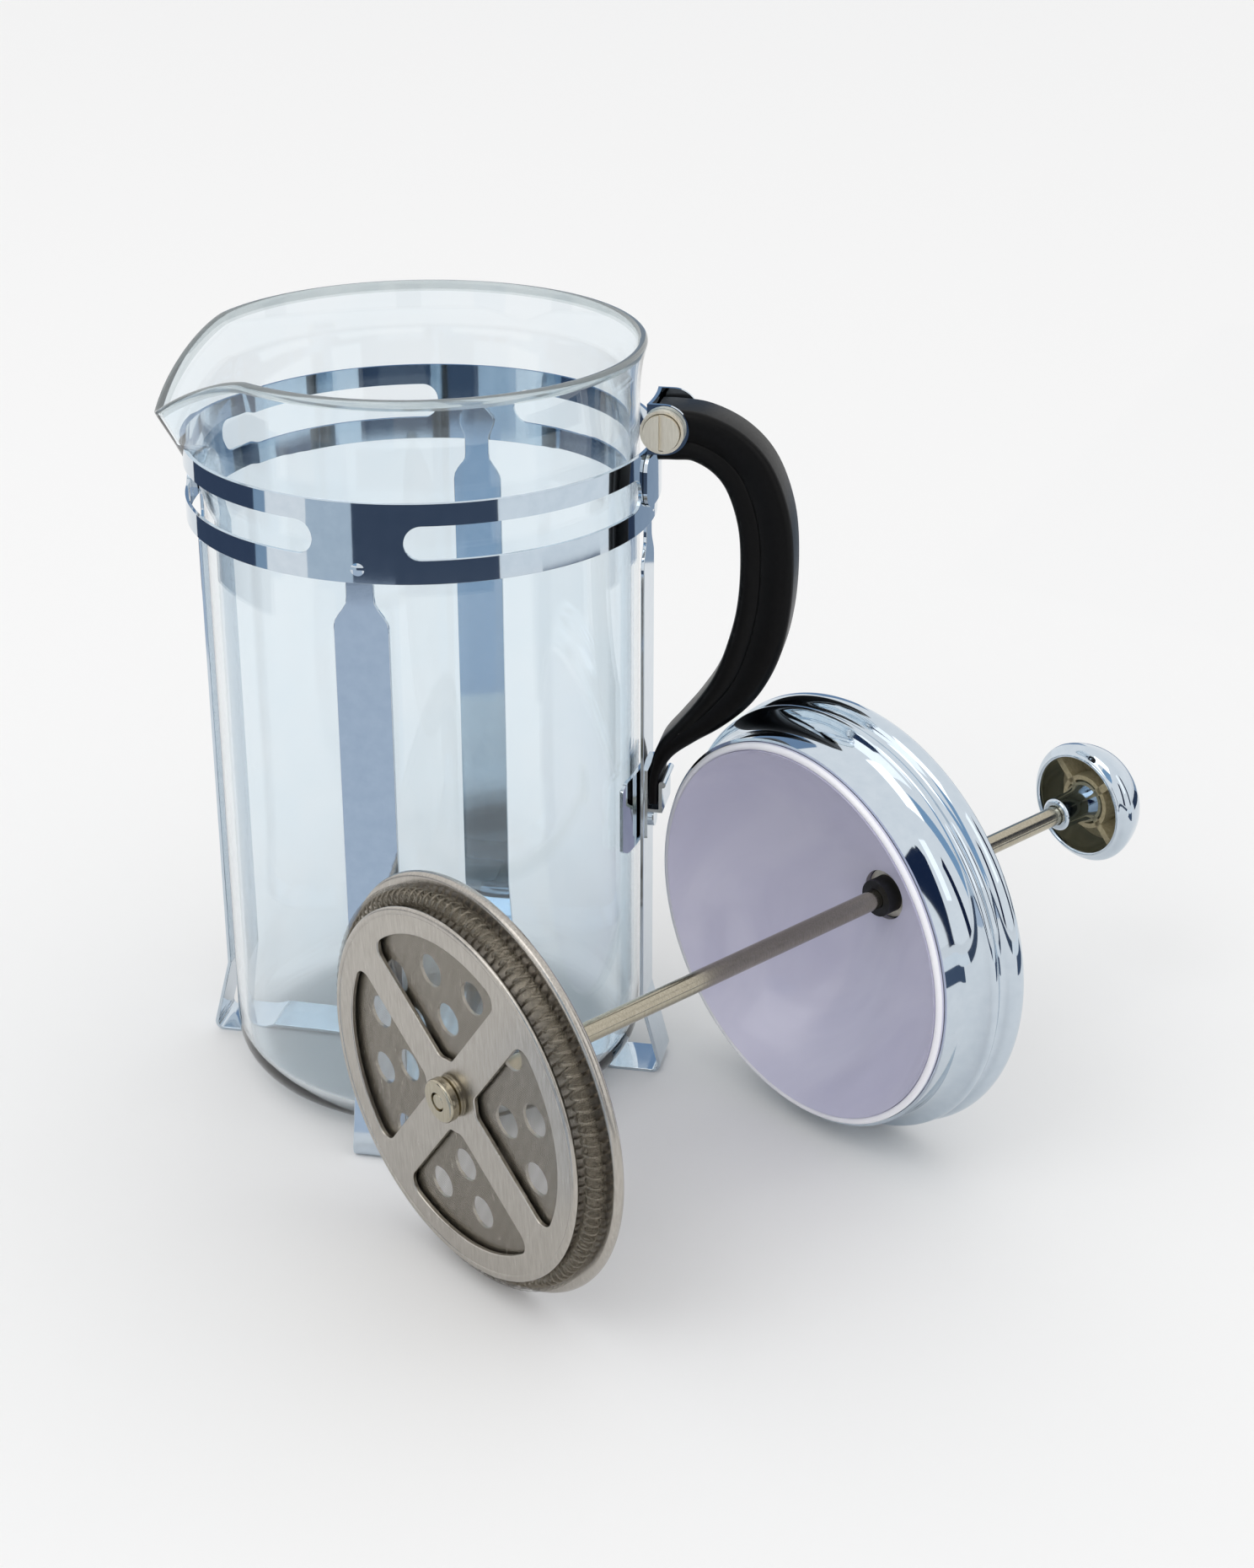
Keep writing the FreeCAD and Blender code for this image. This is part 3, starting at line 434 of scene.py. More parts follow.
def piece(name: str, bm: Mesh, body: Body, finish: Finish, *, place: Matrix = UPRIGHT,
          stands_for: Iterable[str] = (), edge: float = 0.0, sharp: float = SHARP,
          outward: bool = True) -> bpy.types.Object:
    """Make one visible piece of a mesh in millimetres.

    Args:
        name: piece name.
        bm: mesh in its own millimetres; it is freed.
        body: body that the piece rides on.
        finish: material.
        place: from the mesh's own axes to the row frame, in millimetres.
        stands_for: frame nodes that the piece replaces.
        edge: width of the rounding on sharp edges, in millimetres.
        sharp: edges above this angle in degrees stay sharp.
        outward: work the normals out anew.

    Returns:
        The object.
    """
    bm.transform(Matrix.Scale(MM, 4) @ place)
    if outward:
        bmesh.ops.recalc_face_normals(bm, faces=bm.faces)
    limit = math.radians(sharp)
    for face in bm.faces:
        face.smooth = True
    for line in bm.edges:
        line.smooth = not (line.is_manifold and line.calc_face_angle(0.0) > limit)
    made = shown(name, bm)
    made.data.materials.append(material(finish))
    if edge:
        soften(made, edge, sharp)
    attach(made, body.value)
    if stands_for:
        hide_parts(*stands_for)
    log.info("%s: %d faces", name, len(made.data.polygons))
    return made


def soften(made: bpy.types.Object, width: float, sharp: float = SHARP) -> None:
    """Round an object's sharp edges.

    Args:
        made: the object.
        width: width of the rounding in millimetres.
        sharp: least angle in degrees.
    """
    bevel = made.modifiers.new("edge_rounding", "BEVEL")
    bevel.width = width * MM
    bevel.segments = 2
    bevel.limit_method = "ANGLE"
    bevel.angle_limit = math.radians(sharp)


def frame_piece(node: str, finish: Finish, edge: float = 0.0) -> bpy.types.Object:
    """Show a frame node as it is, in a finish.

    Args:
        node: node name.
        finish: material.
        edge: rounding in millimetres.

    Returns:
        The node's object.
    """
    made = frame["nodes"][node]
    made.data.materials.clear()
    made.data.materials.append(material(finish))
    if edge:
        soften(made, edge)
    return made


# ------------------------------------------------------------------ materials
GLASS_IOR = 1.47
GAUZE_COVER = (0.03, 0.62)  # how much the gaps and the wires hide
WIRES_PER_BAND = 0.314      # bands of the wave pattern in one wire spacing
WIRE_WANDER = 0.3
BRUSH_STRETCH = 0.12        # a brushed mark is about eight times as long as it is wide
SWIRL = 2.0
TONES = (0.3, 0.7)          # where the two colours of a finish begin and end
ROUGHNESS_SPREAD = (0.85, 1.2)
BUMP_STRENGTH = 0.5


def linear(colour: str) -> tuple[float, float, float, float]:
    """Linear colour of an sRGB hex colour.

    Args:
        colour: such as "#c0c0c0".

    Returns:
        Red, green, blue and alpha.
    """
    shares = [int(colour[i:i + 2], 16) / 255 for i in (1, 3, 5)]
    bent = [c / 12.92 if c <= 0.04045 else ((c + 0.055) / 1.055) ** 2.4 for c in shares]
    return bent[0], bent[1], bent[2], 1.0


def add_node(tree: bpy.types.NodeTree, kind: str, links: dict | None = None, **values) -> bpy.types.Node:
    """Add a node with its settings and links.

    Args:
        tree: node tree.
        kind: node type.
        links: socket that each input reads, by the input's name or number.
        values: properties, or input sockets with spaces written as underscores.

    Returns:
        The node.
    """
    node = tree.nodes.new(kind)
    for key, value in values.items():
        if hasattr(node, key):
            setattr(node, key, value)
        else:
            node.inputs[key.replace("_", " ")].default_value = value
    for key, socket in (links or {}).items():
        tree.links.new(socket, node.inputs[key])
    return node


def pattern_value(tree: bpy.types.NodeTree, finish: Finish) -> bpy.types.NodeSocket:
    """Build the finish's pattern.

    Args:
        tree: node tree.
        finish: the finish.

    Returns:
        A socket that runs from 0 to 1.
    """
    where = add_node(tree, "ShaderNodeTexCoord").outputs["Object"]
    scale = 1.0 / (finish.pattern * MM)
    if finish.grain is Grain.WOVEN:
        waves = [add_node(tree, "ShaderNodeTexWave", {"Vector": where}, wave_type="BANDS",
                          bands_direction=direction, Scale=scale * WIRES_PER_BAND,
                          Distortion=WIRE_WANDER).outputs["Fac"] for direction in ("X", "Y", "Z")]
        first = add_node(tree, "ShaderNodeMath", {0: waves[0], 1: waves[1]}, operation="MAXIMUM")
        both = add_node(tree, "ShaderNodeMath", {0: first.outputs[0], 1: waves[2]}, operation="MULTIPLY")
        return both.outputs[0]
    long_way = BRUSH_STRETCH if finish.grain is Grain.BRUSHED else 1.0
    mapping = add_node(tree, "ShaderNodeMapping", {"Vector": where}, Scale=(1.0, 1.0, long_way))
    noise = add_node(tree, "ShaderNodeTexNoise", {"Vector": mapping.outputs["Vector"]}, Scale=scale,
                     Detail=3.0, Roughness=0.55, Distortion=SWIRL if finish.grain is Grain.SWIRLED else 0.0)
    return noise.outputs["Fac"]


MADE: dict[str, bpy.types.Material] = {}


def material(finish: Finish) -> bpy.types.Material:
    """Material of a finish, built once.

    Args:
        finish: the finish.

    Returns:
        The material.
    """
    if finish.name in MADE:
        return MADE[finish.name]
    made = bpy.data.materials.new(finish.name)
    made.use_nodes = True
    tree = made.node_tree
    tree.nodes.clear()
    pattern = pattern_value(tree, finish)
    ramp = add_node(tree, "ShaderNodeValToRGB", {"Fac": pattern})
    for stop, place, colour in zip(ramp.color_ramp.elements, TONES, (finish.second, finish.colour)):
        stop.position = place
        stop.color = linear(colour)
    shader = add_node(tree, "ShaderNodeBsdfPrincipled", {"Base Color": ramp.outputs["Color"]},
                      Metallic=finish.metallic, Roughness=finish.roughness,
                      Transmission_Weight=finish.transmission, Coat_Weight=finish.coat,
                      Specular_IOR_Level=finish.gloss)

    def vary(socket: str, low: float, high: float) -> None:
        """Let one of the shader's sockets follow the pattern, from low to high."""
        spread = add_node(tree, "ShaderNodeMapRange", {"Value": pattern}, To_Min=low, To_Max=high)
        tree.links.new(spread.outputs["Result"], shader.inputs[socket])

    if finish.transmission:
        shader.inputs["IOR"].default_value = GLASS_IOR
    else:
        vary("Roughness", *(finish.roughness * share for share in ROUGHNESS_SPREAD))
    if finish.grain is Grain.WOVEN:
        vary("Alpha", *GAUZE_COVER)
    if finish.bump:
        bump = add_node(tree, "ShaderNodeBump", {"Height": pattern}, Strength=BUMP_STRENGTH,
                        Distance=finish.bump * MM)
        tree.links.new(bump.outputs["Normal"], shader.inputs["Normal"])
    add_node(tree, "ShaderNodeOutputMaterial", {"Surface": shader.outputs["BSDF"]})
    MADE[finish.name] = made
    return made


# ------------------------------------------------------------------ beaker
@dataclass
class Beaker:
    """Glass beaker with a pouring lip."""

    radius: float = 48.5
    wall: float = 2.0
    base: float = 3.0
    bottom: float = 1.7
    top: float = 176.3
    corner: float = 9.0
    flare: float = 1.7
    flare_height: float = 14.0
    flare_middle: float = 0.27      # share of the flare that is reached half-way up it
    punt: float = 1.0
    punt_radius: float = 30.0
    wall_spans: int = 24
    spout_angle: float = -157.0
    spout_reach: float = 7.8
    spout_drop: float = 13.5
    spout_half: float = 36.0
    spout_start: float = 141.0

    def profile(self) -> Profile:
        """Closed profile of the glass, outside up and inside down."""
        lip = self.wall / 2
        rim = self.radius + self.flare
        bulge = self.flare * self.flare_middle
        bulge_height = self.top - self.flare_height / 2
        wall_end = self.top - self.flare_height
        low = self.bottom + self.corner
        outside = [(0.0, self.bottom + self.punt)]
        outside += bow((self.punt_radius * 0.5, self.bottom + self.punt * 0.8),
                       (self.punt_radius * 0.8, self.bottom + self.punt * 0.35),
                       (self.punt_radius, self.bottom), 4)
        outside += arc((self.radius - self.corner, low), self.corner, -90, 0, 8)
        outside += [(self.radius, low + (wall_end - self.bottom - self.corner) * i / self.wall_spans)
                    for i in range(1, self.wall_spans)]
        lip_height = self.top - lip
        outside += bow((self.radius, wall_end), (self.radius + bulge, bulge_height), (rim, lip_height), 10)
        round_lip = arc((rim - lip, lip_height), lip, 0, 180, 8)[1:]
        inner = self.radius - self.wall
        floor = self.bottom + self.base
        inner_corner = self.corner - self.wall
        inside = bow((rim - self.wall, lip_height), (inner + bulge, bulge_height), (inner, wall_end), 10)[1:]
        inside += [(inner, wall_end + (floor + inner_corner - wall_end) * i / self.wall_spans)
                   for i in range(1, self.wall_spans)]
        inside += arc((inner - inner_corner, floor + inner_corner), inner_corner, 0, -90, 8)
        inside += [(0.0, floor)]
        return outside + round_lip + inside

    def pull_spout(self, bm: Mesh) -> None:
        """Draw the pouring lip out of the wall and down from the rim.

        Args:
            bm: the spun glass, in place.
        """
        half = math.radians(self.spout_half)
        centre = math.radians(self.spout_angle)
        height = self.top - self.spout_start
        for vert in bm.verts:
            rise = (vert.co.z - self.spout_start) / height
            if rise <= 0:
                continue
            turn = math.atan2(vert.co.y, vert.co.x)
            away = abs((turn - centre + math.pi) % FULL_TURN - math.pi) / half
            if away >= 1:
                continue
            near = 1 - away
            ridge = near ** 1.7 * (1.25 - 0.25 * near)
            swell = rise * rise * (3 - 2 * rise)
            radius = math.hypot(vert.co.x, vert.co.y)
            grown = (radius + self.spout_reach * ridge * swell) / radius
            vert.co.x *= grown
            vert.co.y *= grown
            vert.co.z -= self.spout_drop * near ** 1.5 * rise

    def build(self) -> None:
        """Make the beaker."""
        bm = spun(self.profile(), steps=288)
        # The rim's faces take the paler copy of the glass: a painted highlight.
        lip = [face for face in bm.faces if face.calc_center_median().z > self.top - self.wall]
        self.pull_spout(bm)
        for face in lip:
            face.material_index = 1
        made = piece("glass_beaker_body", bm, Body.BEAKER, GLASS, stands_for=["glass_beaker"], sharp=60)
        made.data.materials.append(material(GLASS_RIM_PAINTED_HIGHLIGHT))


# ------------------------------------------------------------------ stand
@dataclass
class Stand:
    """Slotted band, two crossed straps and the fittings of the handle."""

    radius: float = 52.5
    sheet: float = 0.8
    bottom: float = 137.9
    height: float = 17.4
    slot_height: float = 7.5
    slot_lift: float = 5.2
    slot_land: float = 21.4
    legs: int = 4
    strap_width: float = 12.0
    neck_width: float = 6.0
    tab_width: float = 9.0
    neck_rise: float = 1.0
    neck_length: float = 5.0
    neck_drop: float = 10.0
    tab_lap: float = 9.0
    foot_rise: float = 19.0
    foot_reach: float = 4.9
    foot_flat: float = 12.0
    bend: float = 2.2
    weld_radius: float = 1.5
    weld_height: float = 0.18
    weld_lift: float = 3.0
    weld_sink: float = 0.02         # how far a weld reaches into the band
    edge_row: float = 0.5           # height of the band's rows of faces along its edges
    run_step: float = 1.4
    tip_steps: tuple = (0.02, 0.15, 0.5)    # drops below the round top of a leg

    @property
    def leg_radius(self) -> float:
        """Outer face of a leg."""
        return math.sqrt((self.radius - self.sheet) ** 2 - (self.tab_width / 2) ** 2)

    @property
    def leg_top(self) -> float:
        """Top of a leg, behind the band."""
        return self.bottom + self.tab_lap

    def slot_edges(self, turn: float) -> Point2:
        """Lower and upper edge of the slots at an angle.

        Args:
            turn: angle in degrees.

        Returns:
            Two heights; they are equal on the plain lands.
        """
        quarter = 360 / self.legs
        middle = self.bottom + self.slot_lift + self.slot_height / 2
        radius = self.slot_height / 2
        away = abs((turn % quarter) - quarter / 2)
        half = (quarter - self.slot_land) / 2
        left = math.radians(half - away) * self.radius
        if left <= 0:
            return middle, middle
        open_half = radius if left >= radius else math.sqrt(max(radius ** 2 - (radius - left) ** 2, 0.0))
        return middle - open_half, middle + open_half

    def band_turns(self) -> list[float]:
        """Angles of the band's columns, closer together at the slots' round ends."""
        turns = []
        quarter = 360 / self.legs
        half = (quarter - self.slot_land) / 2
        end = math.degrees(self.slot_height / 2 / self.radius)
        few, many = 10, 48
        eases = [math.radians(90 * i / few) for i in range(few)]
        for leg in range(self.legs):
            start = leg * quarter
            low = start + quarter / 2 - half
            high = start + quarter / 2 + half
            turns += [start + (low - start) * i / few for i in range(few)]
            turns += [low + end * (1 - math.cos(ease)) for ease in eases]
            turns += [low + end + (high - low - 2 * end) * i / many for i in range(many)]
            turns += [high - end * (1 - math.sin(ease)) for ease in eases]
            turns += [high + (start + quarter - high) * i / few for i in range(few)]
        return turns

    def band(self) -> Mesh:
        """Band as a wall of quads with the slots left open."""
        bm = bmesh.new()
        top = self.bottom + self.height
        columns = []
        for turn in self.band_turns():
            low, high = self.slot_edges(turn)
            levels = [self.bottom, self.bottom + self.edge_row, (self.bottom + low) / 2, low,
                      high, (high + top) / 2, top - self.edge_row, top]
            way = Vector((*polar(1.0, turn), 0.0))
            walls = [[bm.verts.new(way * radius + Vector((0, 0, z))) for z in levels]
                     for radius in (self.radius, self.radius - self.sheet)]
            columns.append((low == high, walls))
        last = len(levels) - 1
        slot_row = last // 2
        for (shut_a, (out_a, in_a)), (shut_b, (out_b, in_b)) in zip(columns, columns[1:] + columns[:1]):
            for row in range(last):
                if row != slot_row:
                    bm.faces.new((out_a[row], out_b[row], out_b[row + 1], out_a[row + 1]))
                    bm.faces.new((in_a[row], in_a[row + 1], in_b[row + 1], in_b[row]))
            for row in (0, last):
                bm.faces.new((out_a[row], in_a[row], in_b[row], out_b[row]))
            if not (shut_a and shut_b):
                for row in (slot_row, slot_row + 1):
                    bm.faces.new((out_a[row], out_b[row], in_b[row], in_a[row]))
        bmesh.ops.remove_doubles(bm, verts=bm.verts, dist=MERGE)
        return bm

    def welds(self) -> Mesh:
        """Low round bosses that the spot welds leave on the band's face."""
        crown = (self.weld_radius ** 2 + self.weld_height ** 2) / (2 * self.weld_height)
        reach = math.degrees(math.asin(self.weld_radius / crown))
        cap = arc((0.0, self.weld_height - crown), crown, 90 - reach, 90, 5)
        made = []
        for leg in range(self.legs):
            bm = spun(cap, closed=False, steps=20)
            spot = Matrix.Rotation(math.radians(360 / self.legs * leg), 4, "Z")
            spot @= Matrix.Translation((self.radius - self.weld_sink, 0, self.bottom + self.weld_lift))
            bm.transform(spot @ Matrix.Rotation(math.radians(90), 4, "Y"))
            made.append(bm)
        return joined(*made)

    def half_width(self, height: float) -> float:
        """Half of a leg's width at a height.

        Args:
            height: height above the table.

        Returns:
            Half of the width.
        """
        tab = self.tab_width / 2
        crown = self.leg_top - tab
        neck_top = self.bottom + self.neck_rise
        neck_low = neck_top - self.neck_length
        shoulder = self.bottom - self.neck_drop
        smallest = 0.2                  # keeps the last section open, in square millimetres
        if height > crown:
            return math.sqrt(max(tab ** 2 - (height - crown) ** 2, smallest))
        if height > neck_top:
            share = (height - neck_top) / (crown - neck_top)
            return self.neck_width / 2 + (tab - self.neck_width / 2) * share
        if height > neck_low:
            return self.neck_width / 2
        if height > shoulder:
            share = (neck_low - height) / (neck_low - shoulder)
            eased = share * share * (3 - 2 * share)
            return (self.neck_width + (self.strap_width - self.neck_width) * eased) / 2
        return self.strap_width / 2

    def strap(self, lift: float) -> Mesh:
        """One strip with both of its legs, in the XZ plane.

        Args:
            lift: height of its run under the glass.

        Returns:
            A new mesh.
        """
        foot = self.leg_radius + self.foot_reach
        right = [(self.leg_radius, self.leg_top), (self.leg_radius, self.foot_rise), (foot, 0.0)]
        if lift:
            flat_end = foot - self.foot_flat
            right += [(flat_end, 0.0), (flat_end - 4 * self.sheet, lift)]
        left = [(-x, z) for x, z in reversed(right)]
        run = even_run(rounded_corners(right + left, self.bend), self.run_step)
        ease = [self.leg_top - drop for drop in self.tip_steps]
        run = ([(self.leg_radius, z) for z in ease] + run[2:-2]
               + [(-self.leg_radius, z) for z in reversed(ease)])
        middle = Vector((0.0, 60.0))    # any point that the whole run goes round
        sections = []
        for before, (x, z), after in zip(run[:1] + run, run, run[1:] + run[-1:]):
            ahead = (Vector(after) - Vector(before)).normalized()
            inward = Vector((ahead.y, -ahead.x)) * -self.sheet
            if (Vector((x, z)) - middle).dot(inward) > 0:
                inward = -inward
            half = self.half_width(z)
            inner = (x + inward.x, z + inward.y)
            sections.append([Vector((x, -half, z)), Vector((x, half, z)),
                             Vector((inner[0], half, inner[1])), Vector((inner[0], -half, inner[1]))])
        return swept(sections)

    def build(self) -> None:
        """Make the stand."""
        band = joined(self.band(), self.welds())
        piece("band_with_slots", band, Body.STAND, CHROME, stands_for=["frame_band"], edge=0.18,
              outward=False)
        piece("lengthwise_strap", self.strap(self.sheet), Body.STAND, CHROME,
              stands_for=["lengthwise_leg_strap"], edge=0.22)
        cross = self.strap(0.0)
        cross.transform(Matrix.Rotation(math.radians(90), 4, "Z"))
        piece("crosswise_strap", cross, Body.STAND, CHROME, stands_for=["crosswise_leg_strap"], edge=0.22)
        for node in ("handle_bracket", "lower_handle_clip", "handle_saddle", "clip_rivet"):
            frame_piece(node, CHROME, 0.15)
        for node in ("handle_screw", "screw_washer", "handle_nut"):
            frame_piece(node, SCREW_STEEL, 0.2)


# ------------------------------------------------------------------ handle
@dataclass
class Grip:
    """Moulded grip, swept along its spine."""

    width: float = 12.0
    edge: float = 1.8
    groove_place: float = 4.6
    groove_depth: float = 0.35
    groove_half: float = 0.45
    # Distance from the beaker's axis, height and depth across, from the screw down to the clip.
    spine: tuple = (
        (54.0, 158.5, 11.4),
        (57.5, 158.6, 11.3),
        (63.2, 158.2, 10.9),
        (69.6, 155.0, 11.2),
        (74.4, 149.4, 11.6),
        (77.6, 140.2, 11.8),
        (78.5, 130.0, 11.9),
        (77.9, 119.0, 12.0),
        (75.7, 109.3, 12.0),
        (71.9, 100.9, 10.7),
        (66.6, 94.3, 8.5),
        (61.0, 89.0, 6.0),
        (56.2, 84.0, 4.2),
        (53.9, 78.0, 2.5),
        (53.6, 71.0, 2.1),
    )

    def section(self, depth: float) -> Profile:
        """Cross-section: depth from the finger side (0) outwards, and width.

        Args:
            depth: depth at this place.

        Returns:
            Points round the section.
        """
        half = self.width / 2
        edge = min(self.edge, depth * 0.35)
        groove = min(self.groove_place, depth * 0.4)
        cut = self.groove_depth * min(1.0, depth / 8)
        side = [(groove - self.groove_half, half), (groove, half - cut), (groove + self.groove_half, half)]
        points = arc((edge, -half + edge), edge, 180, 270, 5)
        points += [(x, -y) for x, y in side]
        points += arc((depth - edge, -half + edge), edge, 270, 360, 5)
        points += arc((depth - edge, half - edge), edge, 0, 90, 5)
        points += list(reversed(side))
        points += arc((edge, half - edge), edge, 90, 180, 5)
        return points

    def build(self) -> None:
        """Make the grip."""
        run = smooth_run(self.spine, 8)
        sections = []
        for before, (x, z, depth), after in zip(run[:1] + run, run, run[1:] + run[-1:]):
            ahead = Vector((after[0] - before[0], after[1] - before[1])).normalized()
            out = Vector((-ahead.y, ahead.x))
            start = Vector((x, z)) - out * depth / 2
            sections.append([Vector((start.x + out.x * u, v, start.y + out.y * u))
                             for u, v in self.section(depth)])
        piece("moulded_grip", swept(sections), Body.STAND, GRIP_PLASTIC, stands_for=["handle_grip"], sharp=50)


# ------------------------------------------------------------------ filter
@dataclass
class Filter:
    """Perforated plate, coil, gauze, cross plate and nut, along the rod from the widest rim."""

    radius: float = 46.2
    rim: float = 2.4
    sheet: float = 0.7
    channel: float = 39.6
    depth: float = 6.7
    coil_span: float = 4.0
    coil_gap: float = 0.25
    gauze_sheet: float = 0.35
    gauze_end: float = 26.0         # angle of the fold's free edge round the coil
    ripple: float = 0.13
    turns: int = 112
    wire: float = 0.32
    cross_radius: float = 41.0
    cross_face: float = 8.4
    cross_sheet: float = 1.1
    cross_turn: float = 39.0
    spoke: float = 9.0
    window_inner: float = 8.5
    window_outer: float = 35.0
    window_corner: float = 3.0
    hole: float = 3.6
    rings: tuple = ((17.0, 8, -4.0), (27.0, 12, 17.0))      # radius, count and first angle
    nut_radius: float = 4.8
    nut_height: float = 3.2
    bore: float = 2.05

    def perforated(self) -> Mesh:
        """Perforated face with its channel wall and rolled rim."""
        holes = []
        for ring, count, first in self.rings:
            for i in range(count):
                holes.append(circle(self.hole, 28, polar(ring, first + 360 / count * i)))
        face = plate([circle(self.channel, 160), *holes, circle(self.bore, 24)],
                     -self.depth, -self.depth + self.sheet)
        half = self.rim / 2
        flange = self.radius - half
        wall = [(self.channel, -self.depth), (self.channel, -self.rim), (flange, -self.rim)]
        wall += arc((flange, -half), half, -90, 180, 14)
        inner = self.channel - self.sheet
        wall += [(flange - half + 0.3, self.sheet - self.rim), (inner, self.sheet - self.rim),
                 (inner, -self.depth)]
        return joined(spun(wall, steps=200), face)

    def coil_centre(self) -> Point2:
        """Radius and place of the coil's middle line."""
        return self.channel + self.coil_span / 2 + 0.1, -self.rim - 0.1 - self.coil_span / 2

    def coil(self) -> Mesh:
        """Spring wire wound into a ring."""
        centre, place = self.coil_centre()
        reach = self.coil_span / 2 - self.wire
        steps = self.turns * 12
        sections = []
        for i in range(steps):
            round_ring = FULL_TURN * i / steps
            round_coil = round_ring * self.turns
            out = Vector((math.cos(round_ring), math.sin(round_ring), 0))
            side = out * math.cos(round_coil) + Vector((0, 0, 1)) * math.sin(round_coil)
            middle = out * centre + Vector((0, 0, place)) + side * reach
            along = Vector((-out.y, out.x, 0))
            sections.append([middle + (side * math.cos(t) + along * math.sin(t)) * self.wire
                             for t in (FULL_TURN * k / 6 for k in range(6))])
        return swept(sections, ring=True)

    def gauze(self) -> Mesh:
        """Gauze disc folded round the coil, rippled by its turns."""
        centre, place = self.coil_centre()
        inner = self.coil_span / 2 + self.coil_gap
        outer = inner + self.gauze_sheet
        front = [(radius, place - outer) for radius in (self.bore + 0.1, 12.0, 22.0, 32.0, 38.0)]
        fold = arc((centre, place), outer, -90, self.gauze_end, 16)
        back = arc((centre, place), inner, self.gauze_end, -90, 16)
        profile = front + fold + back + [(radius, place - inner) for radius, _ in reversed(front)]
        bm = spun(profile, steps=self.turns * 6)
        for vert in bm.verts:
            radius = math.hypot(vert.co.x, vert.co.y)
            if radius > centre + 0.6:
                turn = math.atan2(vert.co.y, vert.co.x)
                share = 1 + self.ripple * math.cos(turn * self.turns) / radius
                vert.co.x *= share
                vert.co.y *= share
        return bm

    def window(self, turn: float) -> Profile:
        """Outline of one kidney window.

        Args:
            turn: angle of the spoke before it, in degrees.

        Returns:
            Points of the outline.
        """
        half = self.spoke / 2
        corner = self.window_corner
        reach = self.window_outer - corner
        near = math.degrees(math.asin((half + corner) / reach))
        edge = corner * 0.8
        small = self.window_inner + edge
        low = math.degrees(math.asin((half + edge) / small))
        spot = polar(reach, near)
        inner = polar(small, low)
        points = arc(spot, corner, -90, near, 6)
        points += arc((0, 0), self.window_outer, near, 90 - near, 16)[1:-1]
        points += arc((spot[1], spot[0]), corner, 90 - near, 180, 6)
        points += arc((inner[1], inner[0]), edge, 180, 270 - low, 4)
        points += arc((0, 0), self.window_inner, 90 - low, low, 4)[1:-1]
        points += arc(inner, edge, 180 + low, 270, 4)
        across, up = polar(1.0, turn)
        return [(x * across - y * up, x * up + y * across) for x, y in points]

    def cross(self) -> Mesh:
        """Front plate with four spokes and a rolled rim."""
        flat = self.cross_radius - 1.4
        windows = [self.window(self.cross_turn + 90 * i) for i in range(4)]
        face = plate([circle(flat, 160), *windows, circle(self.bore, 24)],
                     -self.cross_face, -self.cross_face + self.cross_sheet)
        roll = (self.cross_radius - 1.05, -self.cross_face + self.cross_sheet * 0.45)
        middle, flatness = self.cross_face - 0.5, 0.72
        lip = [(radius, (height + middle) * flatness - middle)
               for radius, height in arc(roll, 0.95, 0, 352, 14)]
        return joined(spun(lip, steps=200), face)

    def nut(self) -> Mesh:
        """Round nut with a groove under its head."""
        start = -self.cross_face - 0.05
        end = start - self.nut_height
        radius, bore, edge = self.nut_radius, self.bore + 0.05, 0.7
        washer, groove = radius - 0.2, radius - 0.8
        profile = [(bore, start), (washer, start), (washer, start - 0.5), (groove, start - 0.7),
                   (groove, start - 1.0), (radius, start - 1.2)]
        profile += arc((radius - edge, end + edge), edge, 0, -90, 5)
        profile += [(bore, end)]
        return spun(profile, steps=64)

    def build(self) -> None:
        """Make the filter."""
        make = (
            ("perforated_filter_plate", self.perforated(), FILTER_STEEL, "perforated_plate", 0.0),
            ("coil_of_wire", self.coil(), COIL_WIRE, "coil_spring", 0.0),
            ("folded_gauze", self.gauze(), GAUZE, "mesh_screen", 0.0),
            ("spoked_cross_plate", self.cross(), FILTER_STEEL, "cross_plate", 0.22),
            ("round_hub_nut", self.nut(), ROD_STEEL, "hub_nut", 0.0),
        )
        for name, bm, finish, node, edge in make:
            piece(name, bm, Body.FILTER, finish, place=PLUNGER, stands_for=[node], edge=edge)


